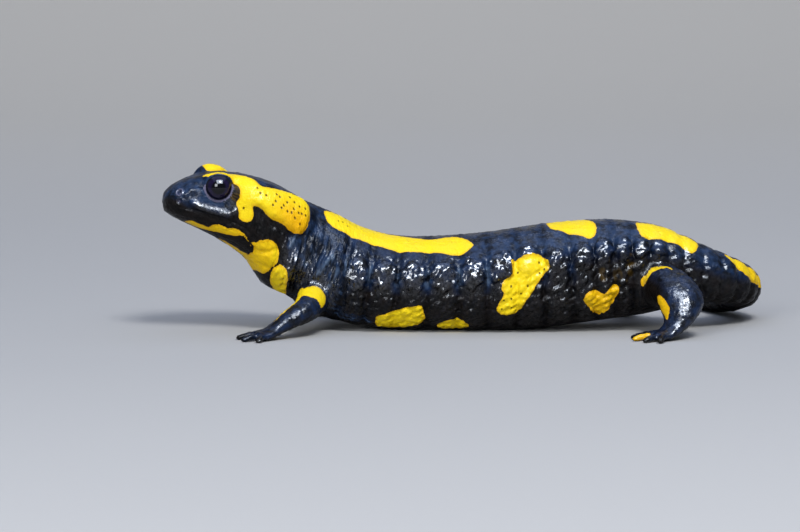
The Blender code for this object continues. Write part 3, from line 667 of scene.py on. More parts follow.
# A closed outline drawn as a smooth curve through its corners
def roundOutline(corners, steps=5):
    corners = np.array(corners, float)
    looped = np.concatenate([corners[-2:], corners, corners[:3]])
    return betweenRows(looped, 2 + np.arange(len(corners) * steps) / steps)


# Distance from each point to the nearest stretch of a line of corners
def lineDistance(points, corners):
    starts, moves = corners[:-1], corners[1:] - corners[:-1]
    offsets = points[:, None] - starts
    shares = np.clip((offsets * moves).sum(axis=2) / np.maximum((moves**2).sum(axis=1), 1e-9), 0, 1)
    return np.linalg.norm(offsets - shares[..., None] * moves, axis=2).min(axis=1)


# The same in mm for a line drawn by place along the body and degrees, which the body's reach turns to mm
def foldDistance(x, side, corners, reachMm):
    scale = np.array([1.0, math.radians(reachMm)])
    return lineDistance(np.stack([x, side], axis=1) * scale, np.array(corners, float) * scale)


# How far inside an outline each point lies, in mm, and less than 0 outside. The degrees become mm
# by the reach of the body there, and a point far from the outline gets -3
def patchDepth(along, degrees, corners, reachMm):
    outline = roundOutline(corners)
    middle = (outline[:, 1].min() + outline[:, 1].max()) / 2
    turned = (degrees - middle + 180) % 360 - 180 + middle
    scale = np.array([1.0, math.radians(reachMm)])
    depth = np.full(len(along), -3.0)
    places = np.stack([along, turned], axis=1) * scale
    outline = outline * scale
    low, high = outline.min(axis=0) - 2.5, outline.max(axis=0) + 2.5
    near = np.flatnonzero(((places > low) & (places < high)).all(axis=1))
    if len(near) == 0:
        return depth
    some = places[near]
    looped = np.concatenate([outline, outline[:1]])
    distance = lineDistance(some, looped)
    (x0, y0), (x1, y1) = looped[:-1].T, looped[1:].T
    level = some[:, 1, None]
    spans = (y0 > level) != (y1 > level)
    rise = np.where(np.abs(y1 - y0) < 1e-9, 1e-9, y1 - y0)
    crossing = some[:, 0, None] < (x1 - x0) * (level - y0) / rise + x0
    inside = (spans & crossing).sum(axis=1) % 2 == 1
    depth[near] = np.where(inside, distance, -distance)
    return depth


# The body's measures all along it: its half width, and its reach above and below the widest level
reachX, reachWidth, reachAbove, reachBelow = sectionFrames(np.linspace(0, lastSection, 200))[4]


# The body's mean reach from its centre line at a place on the straight body, in mm
def bodyReach(x):
    return np.interp(x, reachX, (reachWidth * 2 + reachAbove + reachBelow) / 4)


# All that the skin's shape and colours need to know about each point of it. A point counts as on the
# body, not on a limb, unless it stands out from the body and is near a limb
def skinCoordinates(points):
    body, limbs = bodyCoordinates(points), limbCoordinates(points)
    x, turn, reach = body["x"], np.radians(body["degrees"]), bodyReach(body["x"])
    excess = body["outside"] - relief(x, body["degrees"])
    excess = np.where(nearestOf(points, eyeCentres.values()) < 5.0, 0, excess)
    gap = np.min([limb["gap"] for limb in limbs.values()], axis=0)
    body.update({
        "excess": excess, "limbGap": gap, "crotch": bump(excess, 1.6) * bump(gap, 1.6),
        "onBody": 1 - smoothStep(excess, 0.5, 1.9) * (1 - smoothStep(gap, 1.5, 4.0)),
        "reach": reach, "straight": np.stack([x, reach * np.sin(turn), reach * np.cos(turn)], axis=1),
    })
    return body, limbs


# Smooths the surface, and more where a weight says so, without shrinking the rest
def smoothed(points, edges, weight=0.0, extraPasses=0):
    for share in (0.5, -0.52) * 4:
        points = relax(points, edges, share)
    for _ in range(extraPasses):
        points = relax(points, edges, weight * 0.6)
    return points


edges = edgesOf(skin.data)
points = smoothed(pointsOf(skin.data), edges)
body, limbs = skinCoordinates(points)
points = smoothed(points, edges, body["crotch"], 24)
print("smoothed, and every point's place on the body known")


# The nearest points of the skin to a place of the head, on the left and on the right
def onSkin(place):
    return [points[np.argmin(np.linalg.norm(points - wanted, axis=1))] for wanted in bothSides(place)]


nostrils, pits = onSkin(nostrilPlace), onSkin(pitPlace)
# Each opening of the snout: radius, width and height of the ring round it, width and depth of its hollow
openings = ((nostrils, 0.62, 0.22, 0.3, 0.36, 0.7), (pits, 0.6, 0.25, 0.12, 0.4, 0.25))

skinDetail = {
    "creaseSize": (1.15, 5.5, 5.5), "creaseLean": 0.16, "creaseHeight": 1.0,  # upright folds of the neck
    "wrinkleSize": 1.0, "wrinkleHeight": 0.14,  # fine loose skin of the back
    "cobbleSize": (1.9, 1.1), "cobbleHeight": 0.55,  # grains of the lower flank, along and across their slant
    "beadSize": 1.05, "beadHeight": 0.56,  # the beads on each gland of the flank
    "glandHeight": 0.85, "glandHalf": 16,  # the gland itself, and half its height in degrees
    "valleyFill": 0.28,  # the grooves are shallow between the glands
    "grooveHeight": 0.12, "grooveWidth": 0.35,  # the sharp bottom of a costal groove
    "tailRings": 9, "tailRingHeight": 0.3,  # the rings of the tail's root, deeper on its sides
    "parotoidRise": 0.6,  # the parotoid gland inside its yellow outline, on top of the solids' own
    "mouthDepth": 0.1, "mouthExtra": 0.12, "mouthWidth": 0.2,  # the groove between the lips, deeper behind
    "limbGrain": 1.0, "limbGrainHeight": 0.22, "headGrain": 0.8, "headGrainHeight": 0.09,
}
# Where the row of glands runs: place along the body, degrees down from the back
glandRow = np.array([
    (-11, 82), (-7, 78), (-3, 74), (14, 73), (18, 66), (24, 62), (31, 69), (38, 63), (45, 58), (53, 70)])
# Lumps of the neck's side: place, degrees, half length in mm, half height in degrees, rise in mm
neckLumps = ((-21.0, 125, 1.7, 12, 0.65), (-20.4, 108, 1.4, 9, 0.5), (-10.2, 92, 1.2, 12, 0.3))
# The line between the lips on the straight head: x and z
mouthLine = np.array([
    (-45.4, 24.1), (-43.0, 24.0), (-39.6, 23.3), (-36.2, 22.4), (-33.4, 21.4), (-31.0, 20.1), (-29.8, 18.9)])


# Rounded grains: 1 at the middle of each cell, falling ever more steeply to 0 between the cells
def domes(points, seed, spread=(0.42, 0.42, 0.42)):
    return 1 - np.clip(cellDistance(points, seed, spread) / 0.66, 0, 1) ** 2


# Rounded folds with sharp bottoms between them, from about -0.25 to 0.5
def billows(points, seed):
    return np.abs(latticeNoise(points, seed) + 0.5 * latticeNoise(points * 2.1, seed + 1)) - 0.25


# 1 at the middle of each gland of the flank, falling to 0 at its uneven edge and below 0 outside it
def glandDomes(x, side):
    found = np.full(len(x), -1.0)
    uneven = np.stack([x / 1.7, side / 9, 0 * x], axis=1)
    row = np.interp(x, glandRow[:, 0], glandRow[:, 1]) + 5 * latticeNoise(uneven, 61)
    for ahead, behind in zip(folds["grooves"], folds["grooves"][1:]):
        away = ((x - (ahead + behind) / 2) / (0.47 * (behind - ahead))) ** 2
        found = np.maximum(found, 1 - away - ((side - row) / skinDetail["glandHalf"]) ** 2)
    return found + 0.25 * latticeNoise(uneven * 1.3, 63)


# The raising and sinking of the skin at each point of the surface, in mm: the sum of its folds, wrinkles,
# cobbles, rings, glands, grooves and openings
def skinHeight(points, body):
    x, degrees, straight = body["x"], body["degrees"], body["straight"]
    onBody = body["onBody"] * (1 - body["crotch"])
    side = np.abs(degrees)
    down = np.radians(side) * body["reach"]
    trunk = smoothStep(x, -23.5, -19.0) * (1 - 0.5 * smoothStep(x, 55, 75)) * onBody
    neck = within(x, -24.0, -20.5, -12.0, -5.0) * onBody
    throat = within(x, -30.5, -28.5, -23.0, -20.0) * smoothStep(side, 76, 90) * onBody

    leaning = straight + down[:, None] * (skinDetail["creaseLean"], 0, 0)
    folded = billows(leaning / skinDetail["creaseSize"], 11)
    height = skinDetail["creaseHeight"] * (neck * smoothStep(side, 42, 72) + 0.45 * throat) * folded
    wrinkled = billows(straight / skinDetail["wrinkleSize"], 13)
    height += skinDetail["wrinkleHeight"] * trunk * (1 - smoothStep(side, 85, 110)) * wrinkled

    # Cells on the surface unrolled to a plane, in rows that rise towards the tail
    slant = np.stack([x * 0.8 - down * 0.6, x * 0.6 + down * 0.8, np.sign(degrees) * 0.3], axis=1)
    cells = slant / (*skinDetail["cobbleSize"], 1.0) + (0, 0, 0.5)
    rear = smoothStep(x, 22, 30)
    along = 0.8 * smoothStep(x, -14, -8) + 0.4 * smoothStep(x, 19, 26)
    lower = within(side, 76 - 20 * rear, 92 - 22 * rear, 140, 165) * along * (1 - 0.6 * smoothStep(x, 52, 62))
    height += skinDetail["cobbleHeight"] * trunk * lower * (domes(cells, 21, (0.36, 0.36, 0.0)) - 0.3)

    for k in range(skinDetail["tailRings"]):
        ring = bump(x - folds["tailRingFirst"] - k * folds["tailRingSpacing"], 0.5)
        height -= skinDetail["tailRingHeight"] * smoothStep(side, 35, 60) * ring * onBody

    # Glands with beads on them, calmer at the rear and under the yellow of the flank, and lumps of the neck
    flankPatch = patchDepth(x, -degrees, leftPatches["flank"], bodyReach(22.0))
    trunk = trunk * (1 - 0.6 * smoothStep(flankPatch, -0.4, 0.8)) * (1 - 0.3 * rear)
    glands = glandDomes(x, side)
    beads = domes(straight / skinDetail["beadSize"], 31)
    height += trunk * skinDetail["glandHeight"] * smoothStep(glands, -0.25, 0.95)
    height += trunk * skinDetail["beadHeight"] * smoothStep(glands, -0.15, 0.35) * beads
    for place, level, length, spread, rise in neckLumps:
        lump = bump(x - place, length) * bump(side - level, spread) * onBody
        height += lump * (rise + 0.8 * skinDetail["beadHeight"] * beads)

    # Each groove is filled between the glands, and has a sharp wandering bottom below them
    between, below = within(side, 54, 70, 84, 96) * onBody, within(side, 74, 90, 130, 160) * onBody
    for groove in folds["grooves"]:
        height += skinDetail["valleyFill"] * between * bump(x - groove, folds["grooveWidth"])
        wander = 0.5 * latticeNoise(np.stack([side / 22, x * 0, x * 0 + groove], axis=1), 41)
        height -= skinDetail["grooveHeight"] * below * bump(x - groove - wander, skinDetail["grooveWidth"])

    for corners, depth, width in foldLines.values():
        middle = np.mean(corners, axis=0)[0]
        near = np.flatnonzero((np.abs(x - middle) < 9) & (onBody > 0.2))
        distance = foldDistance(x[near], side[near], corners, bodyReach(middle))
        height[near] -= depth * bump(distance, width) * onBody[near]

    gland = patchDepth(x, side, leftPatches["parotoid"], bodyReach(-26.0))
    height += skinDetail["parotoidRise"] * smoothStep(gland, -0.35, 1.2) * smoothStep(x, -31.0, -28.0)

    head = straightHead(points)
    mouth = lineDistance(head[:, [0, 2]], betweenRows(mouthLine, np.linspace(0, len(mouthLine) - 1, 40)))
    isHead = 1 - smoothStep(x, -29.5, -27.5)
    depth = skinDetail["mouthDepth"] + skinDetail["mouthExtra"] * smoothStep(x, -43, -38)
    height -= depth * isHead * bump(mouth, skinDetail["mouthWidth"])
    for places, radius, ringWidth, rise, width, depth in openings:
        distance = nearestOf(points, places)
        height += rise * bump(distance - radius, ringWidth) - depth * bump(distance, width)

    limbGrain = billows(points / skinDetail["limbGrain"], 51)
    height += skinDetail["limbGrainHeight"] * (1 - body["onBody"]) * (1 - body["crotch"]) * limbGrain
    headGrain = latticeNoise(points / skinDetail["headGrain"], 53)
    return height + skinDetail["headGrainHeight"] * (1 - smoothStep(x, -24, -20)) * headGrain


lids = {
    "apertureEnds": 72, "apertureTop": 61, "apertureBottom": 70,  # degrees from the eye's axis to the edge
    "rim": 0.27, "crease": 0.16,  # mm
    "range": 5.2, "widest": 120,  # what is opened: mm from the eye's centre and degrees from its axis
}


# Each point as an eye sees it: its direction and distance, its share of the way up (1) or down (-1), how
# far past the edge of the lids it lies in degrees, and whether it belongs to the lids at all
def roundEye(points, side):
    outward, forward, upward = eyeFrames[side]
    offset = points - eyeCentres[side]
    distance = np.linalg.norm(offset, axis=1)
    direction = offset / distance[:, None]
    polar = np.degrees(np.arccos(np.clip(direction @ outward, -1, 1)))
    high, ahead = direction @ upward, direction @ forward
    share = high / np.maximum(np.hypot(high, ahead), 1e-6)
    middle = np.where(share > 0, lids["apertureTop"], lids["apertureBottom"])
    past = polar - (lids["apertureEnds"] + (middle - lids["apertureEnds"]) * share**2)
    return direction, distance, share, past, (distance < lids["range"]) & (polar < lids["widest"])


# Opens the skin over each eye, and gives the opening a rim and a crease. Each point keeps its
# direction from the eye's centre, and only its distance changes. Below the eye the cheek stays as it is
def openLids(points):
    rim = eyeRadius + lids["rim"]
    for side, centre in eyeCentres.items():
        direction, distance, share, past, near = roundEye(points, side)
        shape = np.interp(past, [-12, -7, -2.5, 0, 3, 6, 10], [
            eyeRadius - 0.4, eyeRadius - 0.4, eyeRadius - 0.02, rim - 0.05, rim, rim - 0.02,
            rim - lids["crease"]])
        onCheek = smoothStep(-share, -0.1, 0.5) * smoothStep(distance, 3.15, 3.9) * smoothStep(past, -1, 1.5)
        blend = np.maximum(smoothStep(past, 9, 24), onCheek)
        raised = shape * (1 - blend) + distance * blend
        points = np.where(near[:, None], centre + direction * raised[:, None], points)
    return points


# 1 round each eye just outside the lids, falling to 0 at the lids and on the cheek
def besideLids(points):
    return within(nearestOf(points, eyeCentres.values()), 3.0, 3.4, 4.2, 5.6)


setPoints(skin.data, points)
points = points + vectorsOf(skin.data, "normal") * skinHeight(points, body)[:, None]
points = openLids(points)
calm = besideLids(points)
for _ in range(16):
    points = relax(points, edges, 0.6 * calm)
points = aboveFloor(points)
setPoints(skin.data, points)
print("shaped")

# Fewer points on the trunk than on the head, and fewest round the belly
keep = skin.vertex_groups.new(name="keep")
fineness = nearestOf(points, [*eyeCentres.values(), *nostrils])
freedom = 0.25 + 0.5 * smoothStep(fineness, meshing["near"], meshing["far"])
freedom = np.where(np.abs(body["degrees"]) > 150, 1.0, freedom)
for level in (0.25, 0.5, 0.75, 1.0):
    keep.add(np.flatnonzero(np.abs(freedom - level) <= 0.1251).tolist(), level, "REPLACE")
skin.data.calc_loop_triangles()
thin = skin.modifiers.new("thin", "DECIMATE")
thin.vertex_group = "keep"
thin.ratio = meshing["triangles"] / len(skin.data.loop_triangles)
settle(skin)
skin.vertex_groups.clear()
points = pointsOf(skin.data)
print("thinned to", len(points), "points")

body, limbs = skinCoordinates(points)


# How far inside the yellow each point lies, in mm: the greatest of every patch's depths
def yellowDepth(points, body, limbs):
    depths = []
    for patches, mirror in ((leftPatches, -1), (rightPatches, 1)):
        for corners in patches.values():
            reachMm = bodyReach(np.mean(corners, axis=0)[0])
            depths.append(patchDepth(body["x"], body["degrees"] * mirror, corners, reachMm))
    offLimbs = 3.0 - body["excess"] + 2.0 * (body["limbGap"] > 3.0)
    found = np.minimum(np.max(depths, axis=0), offLimbs)
    for (name, _), corners in limbPatches.items():
        joints, limb = limbJoints[name][1], limbs[name]
        pitch = np.linalg.norm(joints[3, :3] - joints[0, :3]) / 3
        scaled = [(place * pitch, turn) for place, turn in corners]
        depth = patchDepth(limb["place"] * pitch, limb["degrees"], scaled, joints[2, 3])
        onRoot = np.minimum(body["excess"] - 0.1, 2.2 - limb["gap"])
        found = np.maximum(found, np.minimum(depth, onRoot))
    return np.maximum(found, toeSpot[1] - lineDistance(points, toeSpot[0]))


# The grey of the lids' edge, by degrees past it: under 2 is full and over 5 none. The lower lid counts
# from its own edge, the upper one gets 30 more, and the rims of the nostrils and their pits count too: there
# the grey is a painted highlight on the rims and a painted reflection in the pits
def lidEdgeAndSheen(points):
    found = np.full(len(points), 60.0)
    for side in eyeCentres:
        _, distance, share, past, near = roundEye(points, side)
        past = past + 30 * smoothStep(share, 0.1, 0.5) + 30 * smoothStep(distance, 2.95, 3.3)
        found = np.where(near, past, found)
    # The nostril rims get the grey as a painted highlight, and the pits behind them as a painted reflection
    found = np.minimum(found, 2.6 + 8 * np.abs(nearestOf(points, nostrils) - 0.62))
    return np.minimum(found, 3.0 + 3.5 * nearestOf(points, pits))


# 1 in the small dull hollow between the eye and the yellow behind it, falling to 0 round it
def behindEye(x, side):
    return np.minimum(1, 1.7 * bump(x + 32, 1.8) * bump(side - 62, 15))


# The folds of the neck that get a painted highlight, paler than the rest: corners, width in mm, and how blue
foldHighlights = (
    ([(-14.4, 76), (-15.2, 84), (-16.0, 94), (-16.8, 106)], 0.7, 1.9),
    ([(-18.2, 82), (-18.6, 92), (-18.9, 100)], 0.55, 1.6),
    ([(-12.6, 84), (-13.4, 96), (-14.2, 108), (-14.8, 116)], 0.5, 1.7),
    ([(-10.4, 96), (-11.2, 106), (-11.6, 114)], 0.45, 1.6),
    ([(-21.4, 76), (-21.9, 84), (-22.1, 92)], 0.6, 1.7),
    ([(-17.6, 60), (-18.4, 70), (-18.9, 78)], 0.35, 1.5),
    ([(-14.6, 56), (-15.5, 66), (-16.2, 76)], 0.3, 1.4),
    ([(-15.4, 106), (-14.9, 119), (-12.6, 132), (-9.5, 138), (-6.5, 140), (-5.0, 141)], 0.35, 1.7),
    ([(-14.1, 104), (-13.5, 116), (-11.3, 127), (-8.6, 132), (-6.0, 134)], 0.25, 1.5),
    ([(-16.6, 112), (-15.9, 126), (-13.5, 139), (-10.2, 145), (-7.0, 148)], 0.3, 1.6),
)


# Where the black skin gets a painted reflection of the blue sky rather than staying brown, from 0 to 1: the
# back and the hollows between the glands, the whole neck, the side of the head above the cheek's ridge, and
# the outsides of the limbs. From 1 to 2 it grows into a pale painted sheen, in the hollows and along some
# folds of the neck
def skyReflectionShare(body, limbs):
    x, side = body["x"], np.abs(body["degrees"])
    # The blue is a painted reflection of the sky on the sides that face up
    low = np.interp(x, [-46, -43.5, -41, -34, -31, -24, -22, -12, -7, 20, 30, 50, 60],
                    [30, 60, 80, 80, 40, 40, 90, 100, 70, 64, 56, 56, 74])
    share = (1 - smoothStep(side, low, low + 24)) * np.interp(x, [-14, -7, 4, 16], [1, 0.75, 0.7, 1])
    share = share * (1 - behindEye(x, side))
    # The hollows between the glands get a painted pale sheen
    for groove in folds["grooves"]:
        paintedSheen = bump(x - groove, 0.7 + 0.4 * smoothStep(side, 68, 84)) * (1 - smoothStep(side, 79, 95))
        share = np.maximum(share, (0.75 + smoothStep(side, 58, 70) * (x < 20)) * paintedSheen * (x < 34))
    # Painted highlights along the folds of the neck
    for corners, width, rise in foldHighlights:
        middle = np.mean(corners, axis=0)[0]
        near = np.flatnonzero((np.abs(x - middle) < 7) & (body["onBody"] > 0.2))
        distance = foldDistance(x[near], side[near], corners, bodyReach(middle))
        share[near] = np.maximum(share[near], rise * bump(distance, width))
    # The outsides of the limbs get the same painted reflection of the sky
    for limb in limbs.values():
        outside = 0.75 * smoothStep(np.cos(np.radians(limb["degrees"] - 60)), -0.3, 0.5)
        share = np.where(limb["gap"] < 1.8, share + (outside - share) * (1 - body["onBody"]), share)
    return share


# Shares of a full film of slime
slime = {
    "everywhere": 0.08, "trunk": 0.1, "back": 0.24, "rump": 0.2, "neck": 0.7, "underGlands": 0.4,
    "glands": 0.95, "cheekRidge": 0.75, "nostrilRims": 0.9,
    "limbs": 0.12, "frontLimbs": 0.12, "hindLimbs": 0.36,  # the last two are added on the limbs' outsides
}


# How thick the film of slime is, from 0 to 1: full on the glands and the lower neck, thin on the back,
# the yellow and the lower flank, and nearly rubbed off the jaw, the lids and the hollows
def slimeFilm(points, body, limbs, yellow):
    x, side = body["x"], np.abs(body["degrees"])
    neck = within(x, -24.5, -21.5, -13, -8)
    film = slime["everywhere"] + slime["trunk"] * smoothStep(x, -14, -8) * (x < 60)
    film += slime["back"] * (1 - smoothStep(side, 66, 92))
    film += slime["rump"] * smoothStep(x, 22, 28) * (1 - smoothStep(side, 105, 125))
    film += slime["neck"] * neck * within(side, 82, 98, 124, 140)
    film *= 1 - 0.9 * neck * (1 - smoothStep(side, 66, 84))
    film *= 1 - 0.35 * (1 - smoothStep(x, -25, -22)) * (1 - smoothStep(side, 50, 66))
    film *= 0.3 + 0.7 * smoothStep(nearestOf(points, eyeCentres.values()), 4.4, 5.4)
    film *= 1 - behindEye(x, side)
    film += slime["underGlands"] * bump(side - 88, 6) * smoothStep(x, -10, -6) * (x < 20)
    for groove in folds["grooves"]:
        film *= 1 - 0.85 * bump(x - groove, 1.0)
    film *= 1 - 0.5 * smoothStep(x, 48, 56)
    onGlands = slime["glands"] - 0.62 * smoothStep(x, 24, 30) - 0.25 * smoothStep(x, 43, 50)
    film = np.maximum(film, onGlands * smoothStep(glandDomes(x, side), -0.15, 0.5))
    near = np.flatnonzero((x < -31) & (side > 60) & (side < 120))
    distance = foldDistance(x[near], side[near], foldLines["cheekRidge"][0], bodyReach(-37.0))
    film[near] = np.maximum(film[near], slime["cheekRidge"] * bump(distance, 0.45))
    film = np.maximum(film, slime["nostrilRims"] * bump(nearestOf(points, nostrils) - 0.65, 0.3))
    for name, limb in limbs.items():
        most = slime["frontLimbs"] if name.startswith("front") else slime["hindLimbs"]
        outside = slime["limbs"] + most * smoothStep(np.cos(np.radians(limb["degrees"] - 60)), -0.1, 0.6)
        film = np.where(limb["gap"] < 1.8, film + (outside - film) * (1 - body["onBody"]), film)
    return film * (1 - 0.65 * smoothStep(yellow, -0.1, 0.4))


def addAttribute(mesh, name, values):
    kind = "FLOAT" if values.ndim == 1 else "FLOAT_VECTOR"
    layer = mesh.attributes.new(name, kind, "POINT")
    layer.data.foreach_set("value" if values.ndim == 1 else "vector", values.astype(np.float32).ravel())


# Small marks inside the yellow and beside it, on both sides: place, degrees
browns = [
    [(-32.9, 47), (-32.2, 47), (-31.5, 54), (-31.5, 64), (-32.0, 71), (-32.8, 75), (-33.4, 68), (-33.3, 56)],
    [(37.4, 82), (38.4, 80), (38.8, 88), (38.2, 93), (37.4, 90)],
    [(40.0, 84), (41.2, 82), (41.8, 90), (41.0, 96), (40.0, 93)],
    [(42.8, 79), (44.2, 77), (44.4, 84), (43.4, 91), (42.6, 88)],
    [(43.2, 66), (43.9, 67), (43.8, 71), (43.1, 71)],
]
poreMarks = [  # the openings of the gland, then the dark dots of the flank and of the stripe
    (-28.4, 58), (-27.5, 58), (-28.8, 52), (-25.9, 51), (-25.4, 52), (-26.0, 60), (-26.4, 66), (-23.8, 45),
    (-24.2, 54), (-24.7, 60), (-25.0, 64), (-24.0, 64), (-23.3, 63), (-23.0, 57), (-23.0, 48), (-22.1, 50),
    (-21.1, 48), (-22.1, 58), (-21.6, 57), (-20.9, 56), (-22.6, 66), (-21.6, 69), (-31.1, 81), (26.2, 68),
    (26.2, 78), (26.7, 84), (27.1, 75), (22.1, 75), (20.8, 87), (23.9, 88), (19.4, 100), (20.8, 99),
    (20.8, 111), (19.0, 111), (22.6, 94), (-14.4, 25), (-13.4, 22), (-12.2, 24)]


# All that the skin's material reads, with one number or vector for each point:
# yellow and brown, mm inside the markings; the share of blue, a painted reflection of the sky on the black
# skin, from brown (0) over blue (1) to a pale painted sheen (2); golden, creased, cobbled, grainy and slime,
# how much of each there is; straight, the place on the body laid straight, so that patterns follow its bends;
# skinMap, the place on the skin unrolled to a plane
def skinMaps(points, body, limbs):
    x, side, onBody, straight = body["x"], np.abs(body["degrees"]), body["onBody"], body["straight"]
    yellow = yellowDepth(points, body, limbs)
    onGlands = smoothStep(glandDomes(x, side), 0.05, 0.3)
    goldenNeck = smoothStep(x, -28.5, -22.0) * within(side, 38, 68, 88, 106) * (x < -19)
    goldenThroat = 0.45 * smoothStep(side, 88, 106) * (1 - smoothStep(x, -25.5, -24))
    goldenGroin = 0.7 * smoothStep(x, 32, 36) * smoothStep(side, 88, 100)
    onFlank = np.maximum(within(side, 45, 62, 150, 172), 0.35)
    return {
        "yellow": yellow,
        "slime": slimeFilm(points, body, limbs, yellow),
        "straight": straight + (points - straight) * (1 - onBody[:, None]),
        "skinMap": np.stack([x, np.radians(side) * body["reach"], 5.0 * (onBody < 0.5)], axis=1),
        "brown": np.max([
            patchDepth(x, side, corners, bodyReach(corners[0][0])) for corners in browns], axis=0),
        "skyBlue": skyReflectionShare(body, limbs),
        "lidEdgeAndSheen": lidEdgeAndSheen(points),
        "golden": np.maximum.reduce([goldenNeck, goldenThroat, goldenGroin, 0.5 * smoothStep(x, 58, 70)]),
        "grainy": 1 - 0.7 * onGlands + 0.7 * (1 - onBody) + 1.2 * (1 - smoothStep(x, -34, -31)),
        "creased": smoothStep(x, -25, -21) * (1 - 0.7 * smoothStep(x, -12, -4)) * onBody
                   * (0.45 + 0.55 * smoothStep(side, 45, 75)) * (1 - 0.8 * onGlands),
        "cobbled": onFlank * smoothStep(x, -14, -7) * onBody * (1 - 0.7 * onGlands),
    }


mesh = skin.data
points = aboveFloor(points)
for name, values in skinMaps(points, body, limbs).items():
    addAttribute(mesh, name, values)
mesh.shade_smooth()
setPoints(mesh, points + worldShift)
print("markings and slime laid on")


# An eyeball: a ball of rings about the eye's own axis, with the angle from the axis kept for the colours
def eyeball(name, side, rings=47, around=72):
    outward, forward, upward = eyeFrames[side]
    polar, turn = np.linspace(0, math.pi, rings + 2)[1:-1], np.arange(around) * math.tau / around
    unit = np.concatenate([ballGrid(polar, turn).reshape(-1, 3), [[0, 0, 1], [0, 0, -1]]])
    place = eyeCentres[side] + worldShift + (unit @ np.array([forward, upward, outward])) * eyeRadius
    front, back = rings * around, rings * around + 1
    index = np.arange(front).reshape(rings, around)
    after = np.roll(index, -1, axis=1)
    faces = np.stack([index[:-1], index[1:], after[1:], after[:-1]], axis=-1).reshape(-1, 4).tolist()
    faces += [[front, a, b] for a, b in zip(index[0].tolist(), after[0].tolist())]
    faces += [[back, b, a] for a, b in zip(index[-1].tolist(), after[-1].tolist())]
    ball = bpy.data.meshes.new(name)
    ball.from_pydata((place * mm).tolist(), [], faces)
    shape = bmesh.new()
    shape.from_mesh(ball)
    bmesh.ops.recalc_face_normals(shape, faces=shape.faces)
    shape.to_mesh(ball)
    shape.free()
    addAttribute(ball, "eyeAngle", np.degrees(np.arccos(np.clip(unit[:, 2], -1, 1))))
    addAttribute(ball, "eyeTurn", unit)
    ball.shade_smooth()
    thing = bpy.data.objects.new(name, ball)
    bpy.context.scene.collection.objects.link(thing)
    return thing


eyes = [eyeball("eyeBallLeft", -1), eyeball("eyeBallRight", 1)]
print("eyes made")


# A colour as it is written, turned to the linear values that a shader takes
def linear(hexColour, alpha=1.0):
    parts = [int(hexColour[k:k + 2], 16) / 255 for k in (1, 3, 5)]
    return [c / 12.92 if c <= 0.04045 else ((c + 0.055) / 1.055) ** 2.4 for c in parts] + [alpha]


# Adds a node with its settings, and its inputs by name or number, each a value or another node's output.
# Returns the output that is asked for
def addNode(tree, kind, out, inputs=None, **settings):
    node = tree.nodes.new(kind)
    for name, value in settings.items():
        setattr(node, name, value)
    for key, value in (inputs or {}).items():
        if isinstance(value, bpy.types.NodeSocket):
            tree.links.new(value, node.inputs[key])
        else:
            node.inputs[key].default_value = value
    return node.outputs[out]


def newMaterial(name):
    material = bpy.data.materials.new(name)
    material.use_nodes = True
    tree = material.node_tree
    return material, tree, tree.nodes["Principled BSDF"]
